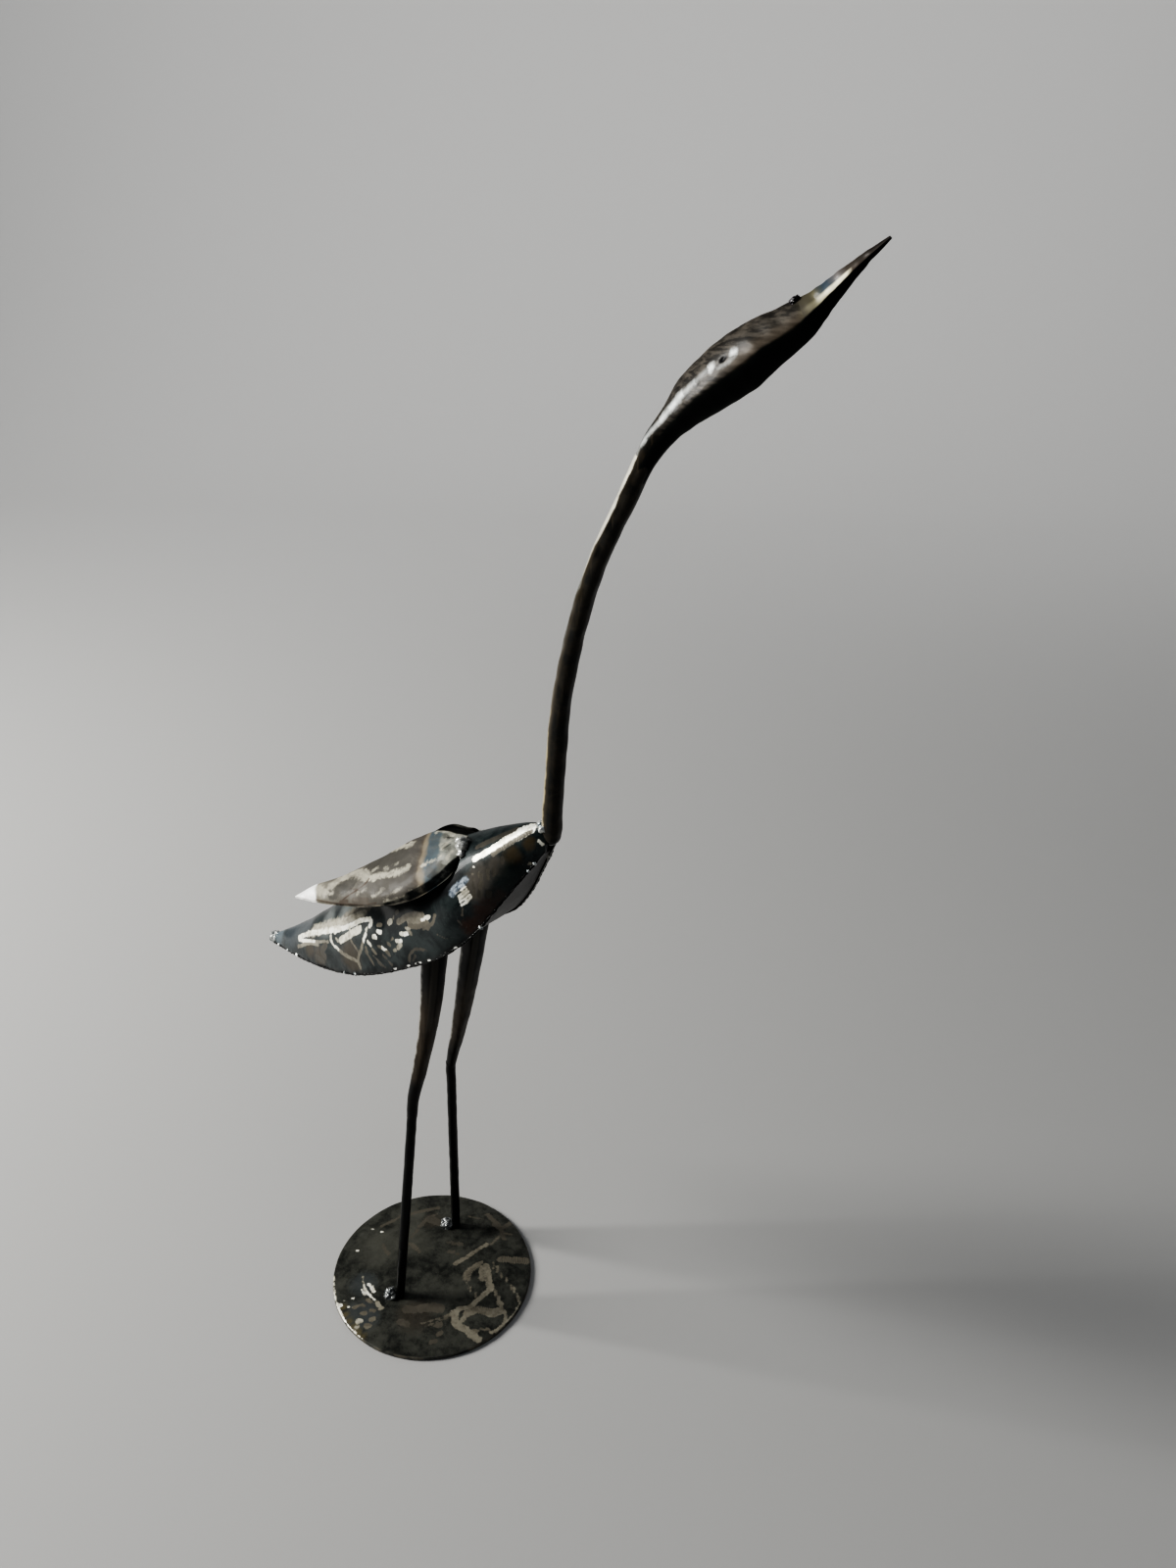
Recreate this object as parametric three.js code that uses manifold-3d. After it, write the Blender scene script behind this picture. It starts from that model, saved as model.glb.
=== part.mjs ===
import * as THREE from "three";
import { mergeVertices } from "three/addons/utils/BufferGeometryUtils.js";
import Module from "manifold-3d";

const wasm = await Module();
wasm.setup();

// Heron welded from sheet steel, rod and tube, on a round base.
// Millimetres, +Z up, +X the way the bird faces, +Y its left.
// The origin is the middle of the base, on its underside.

const TAU = 2 * Math.PI;
const GAP = 0.3; // left between pieces that are welded together
const MIDLINE = 4; // y of the bird's own middle plane
const SIDES = { right: -1, left: 1 };

const BASE = { radius: 65, rim: 3, edge: 0.9, crown: 5.6 };

// Each leg: where its rod stands, and its thigh as x, y, z and radius from the knee up.
const LEGS = {
  right: {
    foot: [-3.7, -28.5],
    thigh: [
      [11.2, -22.2, 174, 3.4],
      [14.8, -20.4, 193.6, 4],
      [19.4, -17.9, 220, 4.75],
      [22.1, -15.9, 243, 5.75],
      [23.5, -13.3, 270, 6.7],
      [24.3, -11.5, 292, 7.1],
    ],
  },
  left: {
    foot: [-9.5, 36.5],
    thigh: [
      [-0.3, 26, 159.5, 3.1],
      [5.5, 24.9, 183, 3.95],
      [12.8, 23.4, 213, 5.1],
      [21.5, 21.4, 254, 6.35],
      [28.5, 19.7, 292, 7.2],
    ],
  },
};
const SHIN_RADIUS = 3;
const FOOT_BEAD = { radius: 4.2, height: 3.4, back: 5.4, out: 3 };

// Body sections from tail to neck: x, half width of the lower edges, height of the right one and of
// the back, and how much lower the left edge was cut.
const BODY = [
  [-125, 1.2, 216, 219.5, 0],
  [-100, 9.5, 222.8, 237, 0],
  [-60, 21.5, 235, 270, 0.5],
  [-20, 30, 251.3, 304, 2.5],
  [20, 32.5, 275, 336, 4.5],
  [45, 31.5, 293.2, 351.5, 4.5],
  [58, 26.3, 307.2, 358.3, 0],
  [72, 16.1, 330.8, 365.2, 0],
  [86.5, 5, 355.5, 370.5, 0],
];
const SHELL = { lip: 1.6, recess: 3.2, plate: 1.4 }; // edge of the shell below the belly plate
const BELLY = { from: -112, to: 83 }; // x at the ends of the belly plate
const CLEAR = { below: 8, above: 60 }; // how far a cut runs past the lower edges, down and up

// Neck: x, z and radius from the body up to the head.
const NECK = [
  [87.2, 359, 5],
  [87.2, 374, 5],
  [88.6, 402, 4.9],
  [91, 433, 4.7],
  [98.7, 473, 4.5],
  [111, 511, 4.3],
  [121.5, 533.5, 4.4],
  [129.4, 551.2, 4.6],
];

// Head and beak: distance along their axis, height of the centre off it, half height, half width.
const HEAD_START = [131, 550];
const HEAD_RISE = Math.atan2(85, 87); // the axis climbs from the neck to the tip of the beak
const HEAD = [
  [0.6, 2.1, 5, 4.9],
  [18, 5.1, 6.4, 6],
  [30, 6, 9.1, 7.6],
  [42, 5.2, 10.5, 8.6],
  [53, 4.1, 11.3, 8.8],
  [65, 2.8, 10.2, 8],
  [75, 1.2, 8.5, 6.6],
  [84, 0, 6.9, 5.2],
];
const BEAK = [
  [84.3, 0, 6.6, 5],
  [90, -0.1, 5.3, 4],
  [98, 0.2, 4, 3.1],
  [108, 0.5, 2.5, 2],
  [121.6, 0, 0.6, 0.6],
];
const CREASE = 1.22; // power of the sine and cosine: over 1 the section has a crease on each side
const EYE = { along: 55.5, lift: 5.2, radius: 4.2, sink: 1.3 };
const NUB = { along: 83.5, up: 6.6, radius: 2 }; // weld on top of the joint of head and beak

// Each wing: the tack weld at its front, its tip, and how far it droops outwards, in degrees.
const WINGS = {
  right: { front: [41, -3, 348.5], tip: [-62, -28, 288.3], droop: 40 },
  left: { front: [33.5, 11, 344.4], tip: [-64, 41, 277], droop: 53 },
};
const LEAF = { sheet: 1.3, dome: 4, width: 38 };
// Distance along the leaf, and how far its inner and outer edges lie from its axis.
const LEAF_EDGES = [
  [0, -1.8, 3.5],
  [8, -6, 16],
  [18, -11, 21.5],
  [35, -11.3, 25],
  [60, -6.8, 22.5],
  [88, -3.4, 14.5],
  [108, -3.4, 7],
  [122, -0.5, 0.8],
];
const WING_BEAD = { radius: 4.2, height: 3.4, along: 2, across: 1.8 };

// Facets around and along each form.
const ARCH_STEPS = 24;
const UNDER_STEPS = 6;
const FACETS = {
  base: 56,
  rod: 14,
  tube: 16,
  bead: [12, 8],
  body: [ARCH_STEPS + UNDER_STEPS, 32],
  belly: [5, 26],
  neck: [14, 24],
  head: [22, 20],
  beak: [16, 12],
  leaf: [8, 22],
};

const at = (x, y, z) => new THREE.Vector3(x, y, z);
const between = (from, to, part) => from + (to - from) * part;

// A smooth curve through rows of [distance, value, value, ...], as a function of the distance.
function through(rows) {
  const places = rows.map((row) => row[0]);
  const values = rows.flatMap((row) => row.slice(1));
  const curve = new THREE.CubicInterpolant(places, values, rows[0].length - 1);
  return (place) => Array.from(curve.evaluate(place));
}

function solid(geometry) {
  geometry.deleteAttribute("normal");
  geometry.deleteAttribute("uv");
  const merged = mergeVertices(geometry, 1e-4);
  const vertProperties = merged.attributes.position.array;
  const triVerts = new Uint32Array(merged.index.array);
  return new wasm.Manifold(new wasm.Mesh({ numProp: 3, vertProperties, triVerts }));
}

// A capped unit cylinder moved point by point onto a skin. place(turn, along) takes both from 0 to 1,
// turning up the right side and down the left, and each cap's middle is the mean of its rim.
function moulded(around, steps, place) {
  const shape = new THREE.CylinderGeometry(1, 1, 1, around, steps);
  const points = shape.attributes.position;
  const capMiddle = [0, 1].map((end) => {
    const mean = at(0, 0, 0);
    for (let i = 0; i < around; i++) mean.addScaledVector(place(i / around, end), 1 / around);
    return mean;
  });
  for (let i = 0; i < points.count; i++) {
    const along = Math.round((0.5 - points.getY(i)) * steps) / steps;
    const onAxis = Math.hypot(points.getX(i), points.getZ(i)) < 0.5;
    const step = Math.round((Math.atan2(points.getX(i), points.getZ(i)) / TAU) * around);
    const turn = ((step + around) % around) / around;
    points.setXYZ(i, ...(onAxis ? capMiddle[along] : place(turn, along)));
  }
  return solid(shape);
}

// A thin sheet as one closed skin. place(across, along, face) gives a point on the lower face (0)
// or the upper face (1).
function sheet(across, steps, place) {
  const around = 2 * (across + 1);
  return moulded(around, steps, (turn, along) => {
    const step = Math.round(turn * around);
    const above = step >= 1 && step <= across + 1;
    const part = above ? (step - 1) / across : ((around - step) % around) / across;
    return place(part, along, above ? 1 : 0);
  });
}

function baseDisc(lift = 0) {
  const { radius, rim, edge, crown } = BASE;
  const rounding = [Math.PI / 6, Math.PI / 3];
  const profile = [
    [0, 0],
    [radius - edge, 0],
    [radius, edge],
    [radius, rim - edge],
    ...rounding.map((a) => [radius - edge + edge * Math.cos(a), rim - edge + edge * Math.sin(a)]),
    [radius - edge, rim],
    ...[0.75, 0.5, 0.25].map((r) => [radius * r, between(crown, rim, r * r)]),
    [0, crown],
  ];
  const turnedProfile = profile.map(([r, z]) => new THREE.Vector2(r, z + lift));
  return solid(new THREE.LatheGeometry(turnedProfile, FACETS.base).rotateX(Math.PI / 2));
}

// A round bar or tube through points, each with its own radius.
function tapered(around, rows) {
  const spans = rows.length - 1;
  const heading = at(...rows[spans]).sub(at(...rows[0])).normalize();
  const side = at(0, 1, 0).addScaledVector(heading, -heading.y).normalize();
  const up = heading.clone().cross(side);
  return moulded(around, spans, (turn, along) => {
    const [x, y, z, radius] = rows[Math.round(along * spans)];
    const a = TAU * turn;
    return at(x, y, z)
      .addScaledVector(side, -radius * Math.cos(a))
      .addScaledVector(up, radius * Math.sin(a));
  });
}

function bead(middle, radius, height) {
  const ball = new THREE.SphereGeometry(1, ...FACETS.bead).scale(radius, radius, height);
  return solid(ball.translate(...middle));
}

// The rod is cut to the crowned base, and its weld bead lies behind it on the outer side.
function shin(side) {
  const { foot, thigh } = LEGS[side];
  const { radius, height, back, out } = FOOT_BEAD;
  const knee = at(...thigh[0].slice(0, 3));
  const footHeight = BASE.crown - 0.5;
  const sunk = at(...foot, footHeight).lerp(knee, -0.02);
  const rod = tapered(FACETS.rod, [[...sunk, SHIN_RADIUS], [...knee, SHIN_RADIUS]]);
  const weld = bead([foot[0] - back, foot[1] - out, footHeight], radius, height);
  return rod.add(weld).subtract(baseDisc(GAP));
}

// The tube starts just above the shin and is cut off just below the belly plate.
function thigh(side) {
  const [[x, y, z, radius], ...above] = LEGS[side].thigh;
  const tube = tapered(FACETS.tube, [[x, y, z + 2 * GAP, radius], ...above]);
  return tube.subtract(bellySlab(SHELL.recess - SHELL.plate - 2 * GAP, CLEAR.above, -GAP));
}

const bodySection = through(BODY);
const bodyX = (along) => between(BODY[0][0], BODY[BODY.length - 1][0], along);

// The back is an arch over the lower edges: one half ellipse each side, closed below by a flat chord.
function bodyForm(lift = 0) {
  const [around, steps] = FACETS.body;
  return moulded(around, steps, (turn, along) => {
    const x = bodyX(along);
    const [half, right, back, sag] = bodySection(x);
    const step = Math.round(turn * around);
    if (step > ARCH_STEPS) {
      const across = (step - ARCH_STEPS) / UNDER_STEPS;
      return at(x, MIDLINE + half * (1 - 2 * across), right - sag * (1 - across) + lift);
    }
    const a = (Math.PI * step) / ARCH_STEPS;
    const seam = 2 * step > ARCH_STEPS ? right - sag : right;
    return at(x, MIDLINE - half * Math.cos(a), seam + lift + (back - seam) * Math.sin(a));
  });
}

// The space between the shell's lower edges, from one depth above them to another.
function bellySlab(low, high, inset = 0) {
  return sheet(...FACETS.belly, (across, along, face) => {
    const x = between(BELLY.from + inset, BELLY.to - inset, along);
    const [half, right, , sag] = bodySection(x);
    const seam = right - sag * across;
    const depth = face ? high : low;
    const tilt = Math.atan(bodySection(x + 0.5)[1] - bodySection(x - 0.5)[1]);
    const reach = half - Math.min(SHELL.lip, half / 3) - inset;
    const y = MIDLINE + reach * (2 * across - 1);
    return at(x - depth * Math.sin(tilt), y, seam + depth * Math.cos(tilt));
  });
}

// The upper end is mitred to the back of the head.
function neckTube(extra = 0) {
  const centre = through(NECK.map(([x, z, radius], i) => [i, x, z, radius]));
  const last = NECK.length - 1;
  return moulded(...FACETS.neck, (turn, along) => {
    const [x, z, radius] = centre(along * last);
    const [beforeX, beforeZ] = centre(along * last - 0.01);
    const [afterX, afterZ] = centre(along * last + 0.01);
    const climb = along === 1 ? HEAD_RISE : Math.atan2(afterZ - beforeZ, afterX - beforeX);
    const a = TAU * turn;
    const out = (radius + extra) * Math.sin(a);
    const y = MIDLINE - (radius + extra) * Math.cos(a);
    return at(x - out * Math.sin(climb), y, z + out * Math.cos(climb));
  });
}

// A point of the head or beak: along its axis, up from it, and out to the bird's left.
function headPoint(along, up, out) {
  const [x, z] = HEAD_START;
  const cos = Math.cos(HEAD_RISE);
  const sin = Math.sin(HEAD_RISE);
  return at(x + along * cos - up * sin, MIDLINE + out, z + along * sin + up * cos);
}

function headForm(rows, [around, steps]) {
  const section = through(rows);
  const end = rows.length - 1;
  const rounded = (value) => Math.sign(value) * Math.abs(value) ** CREASE;
  return moulded(around, steps, (turn, part) => {
    const along = between(rows[0][0], rows[end][0], part);
    const [centre, halfHeight, halfWidth] = section(along);
    const a = TAU * turn;
    return headPoint(along, centre + halfHeight * rounded(Math.sin(a)), -halfWidth * rounded(Math.cos(a)));
  });
}

function head() {
  const [centre, , halfWidth] = through(HEAD)(EYE.along);
  let form = headForm(HEAD, FACETS.head);
  for (const side of Object.values(SIDES)) {
    const out = side * (halfWidth - 1 + EYE.radius - EYE.sink);
    form = form.subtract(bead(headPoint(EYE.along, centre + EYE.lift, out), EYE.radius, EYE.radius));
  }
  const beakSpace = BEAK.map(([along, middle, up, out]) => [along - GAP, middle, up + GAP, out + GAP]);
  const nub = bead(headPoint(NUB.along, NUB.up, 0), NUB.radius, NUB.radius);
  return form.add(nub.subtract(headForm(beakSpace, FACETS.beak)));
}

// A domed leaf of sheet that droops away from the back, tacked to it at the front only.
function wing(side) {
  const { front, tip, droop } = WINGS[side];
  const start = at(...front);
  const axis = at(...tip).sub(start);
  const length = axis.length();
  axis.normalize();
  const level = at(0, SIDES[side], 0).addScaledVector(axis, -SIDES[side] * axis.y).normalize();
  const upright = axis.clone().cross(level).multiplyScalar(-SIDES[side]);
  const fall = THREE.MathUtils.degToRad(droop);
  const chord = level.clone().multiplyScalar(Math.cos(fall)).addScaledVector(upright, -Math.sin(fall));
  const normal = level.clone().multiplyScalar(Math.sin(fall)).addScaledVector(upright, Math.cos(fall));
  const edges = through(LEAF_EDGES);
  const stretch = LEAF_EDGES[LEAF_EDGES.length - 1][0] / length;

  const leaf = sheet(...FACETS.leaf, (part, along, face) => {
    const across = SIDES[side] < 0 ? part : 1 - part;
    const [inner, outer] = edges(length * along * stretch);
    const bulge = 1 - (2 * across - 1) ** 2;
    const height = (LEAF.dome * bulge * (outer - inner)) / LEAF.width + (face ? LEAF.sheet : 0);
    return start.clone()
      .addScaledVector(axis, length * along)
      .addScaledVector(chord, between(inner, outer, across))
      .addScaledVector(normal, height);
  });
  const { radius, height, along, across } = WING_BEAD;
  const weld = start.clone().addScaledVector(axis, along).addScaledVector(chord, across);
  const tack = bead(weld, radius, height);
  return leaf.add(tack).subtract(bodyForm(GAP));
}

function body() {
  return bodyForm().subtract(bellySlab(-CLEAR.below, SHELL.recess)).subtract(neckTube(GAP));
}

function bellyPlate() {
  return bellySlab(SHELL.recess - GAP - SHELL.plate, SHELL.recess - GAP, GAP);
}

const STEEL = {
  base: { color: 0x2b2a26, roughness: 0.45, metalness: 0.8 },
  leg: { color: 0x15120f, roughness: 0.45, metalness: 0.8 },
  thigh: { color: 0x241b14, roughness: 0.4, metalness: 0.8 },
  shell: { color: 0x1d2625, roughness: 0.3, metalness: 0.85 },
  belly: { color: 0x4a494b, roughness: 0.5, metalness: 0.8 },
  wing: { color: 0x8a8375, roughness: 0.35, metalness: 0.85 },
  neck: { color: 0x1c1914, roughness: 0.35, metalness: 0.85 },
  head: { color: 0x3a332b, roughness: 0.3, metalness: 0.85 },
  beak: { color: 0x4b4433, roughness: 0.3, metalness: 0.85 },
};

function meshOf(name, form, steel) {
  const { numProp, vertProperties, triVerts } = form.getMesh();
  const geometry = new THREE.BufferGeometry();
  const points = new THREE.InterleavedBuffer(vertProperties, numProp);
  geometry.setAttribute("position", new THREE.InterleavedBufferAttribute(points, 3, 0));
  geometry.setIndex(new THREE.BufferAttribute(triVerts, 1));
  const mesh = new THREE.Mesh(geometry, new THREE.MeshStandardMaterial(STEEL[steel]));
  mesh.name = name;
  return mesh;
}

const heron = new THREE.Group();
heron.add(
  meshOf("base_disc", baseDisc(), "base"),
  meshOf("body", body(), "shell"),
  meshOf("belly_plate", bellyPlate(), "belly"),
  meshOf("neck", neckTube(), "neck"),
  meshOf("head", head(), "head"),
  meshOf("beak", headForm(BEAK, FACETS.beak), "beak"),
);
for (const side of Object.keys(SIDES)) {
  heron.add(
    meshOf(`${side}_shin`, shin(side), "leg"),
    meshOf(`${side}_thigh`, thigh(side), "thigh"),
    meshOf(`${side}_wing`, wing(side), "wing"),
  );
}

export default heron;
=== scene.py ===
import functools
import math
import bpy
import numpy as np
from mathutils import Matrix


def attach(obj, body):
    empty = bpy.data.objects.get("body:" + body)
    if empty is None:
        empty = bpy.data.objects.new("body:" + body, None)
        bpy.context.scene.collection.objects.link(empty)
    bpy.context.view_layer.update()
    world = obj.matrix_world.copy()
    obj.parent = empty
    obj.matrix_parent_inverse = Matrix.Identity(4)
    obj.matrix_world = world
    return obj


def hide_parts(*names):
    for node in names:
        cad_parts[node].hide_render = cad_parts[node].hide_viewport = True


# A heron welded from lacquered sheet steel, rod and tube, on a round base.
# Sizes are in millimetres and become metres as each mesh is made: +X is the way
# the bird faces, +Y its left, and the origin lies under the middle of the base.

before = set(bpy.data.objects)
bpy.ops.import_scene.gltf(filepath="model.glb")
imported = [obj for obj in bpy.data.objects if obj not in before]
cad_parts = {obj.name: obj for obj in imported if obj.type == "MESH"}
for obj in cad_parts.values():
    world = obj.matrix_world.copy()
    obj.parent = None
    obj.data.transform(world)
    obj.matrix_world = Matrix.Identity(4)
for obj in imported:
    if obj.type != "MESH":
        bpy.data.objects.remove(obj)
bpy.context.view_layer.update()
millimetre = 0.001
midline = 4.0
axisZ = np.array([0.0, 0.0, 1.0])


# shapes

def smooth(rows, places):
    # every column of the rows is a smooth curve of the first: a cubic through the rows,
    # with the slope at each row taken from its neighbours
    rows = np.asarray(rows, float)
    at, values = rows[:, 0], rows[:, 1:]
    slopes = np.gradient(values, at, axis=0)
    places = np.asarray(places, float)
    span = np.clip(np.searchsorted(at, places, side="right") - 1, 0, len(at) - 2)
    width = (at[span + 1] - at[span])[..., None]
    part = (places - at[span])[..., None] / width
    before, after = values[span], values[span + 1]
    return (
        before * (1 + 2 * part) * (1 - part) ** 2
        + after * part ** 2 * (3 - 2 * part)
        + slopes[span] * width * part * (1 - part) ** 2
        + slopes[span + 1] * width * part ** 2 * (part - 1)
    )


def unit(vectors):
    # each divided by its own length
    return vectors / np.maximum(np.linalg.norm(vectors, axis=-1, keepdims=True), 1e-12)


def ease(value, low, high):
    # from 0 below low to 1 above high, smooth at both ends
    part = np.clip((value - low) / (high - low), 0, 1)
    return part * part * (3 - 2 * part)


def stepped(ends, counts):
    # even steps between each two ends, as many as counted, from the first end to the last
    spans = [np.linspace(a, b, n, endpoint=False) for a, b, n in zip(ends[:-1], ends[1:], counts)]
    return np.append(np.concatenate(spans), ends[-1])


def ripple(points, size, seed, waves=9):
    # a smooth uneven height from -1 to 1: a sum of sine waves about one size long,
    # each running its own way through space
    rng = np.random.default_rng(seed)
    ways = unit(rng.normal(size=(waves, 3))) * rng.uniform(0.6, 1.7, (waves, 1)) * 2 * math.pi / size
    height = np.sin(points @ ways.T + rng.uniform(0, 2 * math.pi, waves)).sum(-1)
    return height / math.sqrt(waves) / 1.6


def ringNormals(rings):
    # cross product of the way along and the way round, at every point of a closed tube of rings
    along = np.gradient(rings, axis=0)
    around = np.roll(rings, -1, axis=1) - np.roll(rings, 1, axis=1)
    return unit(np.cross(around, along))


def pushed(rings, amount):
    # a tube with every point moved along its normal
    return rings + ringNormals(rings) * amount[..., None]


def outward(rings):
    # normals of a form round the midline, with the sign that leads away from it
    normals = ringNormals(rings)
    return normals * np.sign((normals[..., 1] * (rings[..., 1] - midline)).mean())


def turns(columns):
    # even steps once round
    return np.linspace(0, 2 * math.pi, columns, endpoint=False)


def placeMesh(name, mesh, material):
    mesh.materials.append(material)
    holder = bpy.data.objects.new(name, mesh)
    bpy.context.scene.collection.objects.link(holder)
    return holder


def makeSkin(name, rings, nodes, material, fields=None, bend=40):
    # a closed tube of rings with a fan to a middle point over each end
    rows, columns = rings.shape[:2]
    middles = np.stack([rings[0].mean(0), rings[-1].mean(0)])
    points = np.concatenate([rings.reshape(-1, 3), middles])
    number = np.arange(rows * columns).reshape(rows, columns)
    beside = np.roll(number, -1, axis=1)
    quads = np.stack([number[:-1], beside[:-1], beside[1:], number[1:]], -1).reshape(-1, 4)
    first = np.stack([beside[0], number[0], np.full(columns, rows * columns)], -1)
    last = np.stack([number[-1], beside[-1], np.full(columns, rows * columns + 1)], -1)
    # turned the right way out by the sign of the volume
    a, b, c, d = (points[quads[:, i]] for i in range(4))
    volume = np.einsum("ij,ij->", a, np.cross(b, c)) + np.einsum("ij,ij->", a, np.cross(c, d))
    if volume < 0:
        quads, first, last = quads[:, ::-1], first[:, ::-1], last[:, ::-1]
    corners = np.concatenate([quads.ravel(), first.ravel(), last.ravel()])
    sides = np.concatenate([np.full(len(quads), 4), np.full(2 * columns, 3)])
    mesh = bpy.data.meshes.new(name)
    mesh.vertices.add(len(points))
    mesh.vertices.foreach_set("co", (points * millimetre).ravel())
    mesh.loops.add(len(corners))
    mesh.loops.foreach_set("vertex_index", corners.astype(np.int32))
    mesh.polygons.add(len(sides))
    mesh.polygons.foreach_set("loop_start", (np.cumsum(sides) - sides).astype(np.int32))
    mesh.update(calc_edges=True)
    mesh.validate()
    for field, values in (fields or {}).items():
        values = np.asarray(values, float).reshape(rows * columns, -1)
        values = np.concatenate([values, values[:1], values[-1:]])
        kind = "FLOAT" if values.shape[1] == 1 else "FLOAT_VECTOR"
        data = mesh.attributes.new(field, kind, "POINT").data
        data.foreach_set("value" if kind == "FLOAT" else "vector", values.ravel())
    mesh.shade_smooth()
    mesh.set_sharp_from_angle(angle=math.radians(bend))
    piece = placeMesh(name, mesh, material)
    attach(piece, "root")
    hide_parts(*nodes)
    return piece


def tube(centres, radii, columns, up):
    # rings square to a line of points, each turned so that its first point lies to one side
    way = unit(np.gradient(centres, axis=0))
    side = unit(np.cross(np.broadcast_to(up, way.shape), way))
    over = np.cross(way, side)
    turn = turns(columns)
    radii = np.broadcast_to(np.asarray(radii, float), (len(centres),))[:, None, None]
    ring = side[:, None] * np.cos(turn)[None, :, None] + over[:, None] * np.sin(turn)[None, :, None]
    return centres[:, None] + radii * ring


# marks ground or burnt into the steel, and painted highlights and shade laid out the same way

def layMark(surface, path, steps=5):
    # a mark's chosen points joined by a smooth curve on the surface
    path = np.asarray(path, float)
    order = np.arange(len(path), dtype=float)
    fine = np.linspace(0, len(path) - 1, (len(path) - 1) * steps + 1)
    return surface(*smooth(np.column_stack([order, path]), fine).T)


def markField(points, surface, marks):
    # for each point of a skin: how deep it lies inside the nearest mark, how far along that
    # mark, and how bright the mark is; a mark is its width, its brightness and its points
    depth = np.full(len(points), -30.0)
    along = np.zeros(len(points))
    shine = np.zeros(len(points))
    for width, bright, *path in marks:
        line = layMark(surface, path)
        start = 0.0
        for here, there in zip(line[:-1], line[1:]):
            step = there - here
            length = np.linalg.norm(step)
            part = np.clip((points - here) @ step / length ** 2, 0, 1)
            inside = width / 2 - np.linalg.norm(points - here - part[:, None] * step, axis=1)
            nearer = inside > depth
            depth = np.where(nearer, inside, depth)
            along = np.where(nearer, start + part * length, along)
            shine = np.where(nearer, bright, shine)
            start += length
    return np.column_stack([depth, along, shine])


# shader helpers: nodes go into the tree on the bench, which also holds the shader, the place
# of each point, its blotches and the colour laid so far

bench = {}


def join(node, inputs):
    # a socket is linked, a plain value is set, and a colour gets its fourth number
    for name, value in inputs.items():
        socket = node.inputs[name]
        if isinstance(value, bpy.types.NodeSocket):
            bench["tree"].links.new(value, socket)
        else:
            socket.default_value = (*value, 1) if socket.type == "RGBA" else value
    return node


def addNode(kind, inputs=None, **settings):
    node = bench["tree"].nodes.new("ShaderNode" + kind)
    for setting, value in settings.items():
        setattr(node, setting, value)
    return join(node, inputs or {})


def calc(operation, first, second=0.0, third=0.0):
    return addNode("Math", {0: first, 1: second, 2: third}, operation=operation).outputs[0]


def times(first, second):
    return calc("MULTIPLY", first, second)


def scaled(value, factor, shift):
    # value times factor, plus shift
    return calc("MULTIPLY_ADD", value, factor, shift)


def spread(value, low, high, toLow=0.0, toHigh=1.0):
    # from toLow at low to toHigh at high, smooth at both ends
    inputs = {"Value": value, "From Min": low, "From Max": high, "To Min": toLow, "To Max": toHigh}
    return addNode("MapRange", inputs, interpolation_type="SMOOTHSTEP").outputs["Result"]


def blendColour(share, under, over):
    return addNode("Mix", {0: share, 6: under, 7: over}, data_type="RGBA").outputs[2]


def blendValue(share, under, over):
    return addNode("Mix", {0: share, 2: under, 3: over}, data_type="FLOAT").outputs[0]


def colourRamp(value, stops):
    node = addNode("ValToRGB", {"Fac": value})
    elements = node.color_ramp.elements
    while len(elements) < len(stops):
        elements.new(0.5)
    for element, (place, colour) in zip(elements, stops):
        element.position = place
        element.color = (*colour, 1)
    return node.outputs["Color"]


def noise(scale, detail=4.0, rough=0.55, warp=0.0, where=None):
    where = bench["where"] if where is None else where
    inputs = {"Vector": where, "Scale": scale, "Detail": detail, "Roughness": rough, "Distortion": warp}
    return addNode("TexNoise", inputs).outputs["Fac"]


def streaks(scale, detail=4.0, rough=0.6, turn=(0, 0, 0)):
    # noise with a scale of its own along each axis, turned by degrees
    inputs = {"Vector": bench["where"], "Scale": scale, "Rotation": tuple(math.radians(a) for a in turn)}
    return noise(1.0, detail, rough, 0.0, addNode("Mapping", inputs).outputs["Vector"])


def jitter(value, scale, amount, detail=4.0, rough=0.55):
    # a value pulled up and down by noise, half the amount each way
    return scaled(calc("SUBTRACT", noise(scale, detail, rough), 0.5), amount, value)


def apart(vector):
    return list(addNode("SeparateXYZ", {0: vector}).outputs)


def readField(name, output="Vector"):
    return addNode("Attribute", attribute_name=name, attribute_type="GEOMETRY").outputs[output]


def readValue(name):
    return readField(name, "Fac")


def startGroup(name, inputs):
    # a group takes the place of each point and the inputs given, three numbers or one
    group = bpy.data.node_groups.new(name, "ShaderNodeTree")
    for label, value in {"Vector": (0, 0, 0), **inputs}.items():
        kind = "NodeSocketVector" if isinstance(value, tuple) else "NodeSocketFloat"
        group.interface.new_socket(label, in_out="INPUT", socket_type=kind).default_value = value
    given = group.nodes.new("NodeGroupInput").outputs
    bench.update(tree=group, where=given["Vector"])
    return given


def finishGroup(results):
    group = bench["tree"]
    for label in results:
        group.interface.new_socket(label, in_out="OUTPUT", socket_type="NodeSocketFloat")
    join(group.nodes.new("NodeGroupOutput"), results)
    return group


def useGroup(group, inputs):
    return addNode("Group", {"Vector": bench["where"], **inputs}, node_tree=group).outputs


def makeHammered():
    # height of a hand-hammered sheet: shallow round dints between soft ridges, over a slow wave
    given = startGroup("hammered", {"Dint Size": 9.0, "Grain": 0.3})
    scale = calc("DIVIDE", 1000.0, given["Dint Size"])
    inputs = {"Vector": given["Vector"], "Scale": scale, "Smoothness": 0.6}
    cells = addNode("TexVoronoi", inputs, feature="SMOOTH_F1").outputs["Distance"]
    wave = noise(times(scale, 0.6), 2.0)
    fine = noise(times(scale, 6.0), 5.0, 0.6)
    height = calc("ADD", times(cells, -0.5), wave)
    return finishGroup({"Height": scaled(fine, given["Grain"], height)})


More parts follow.
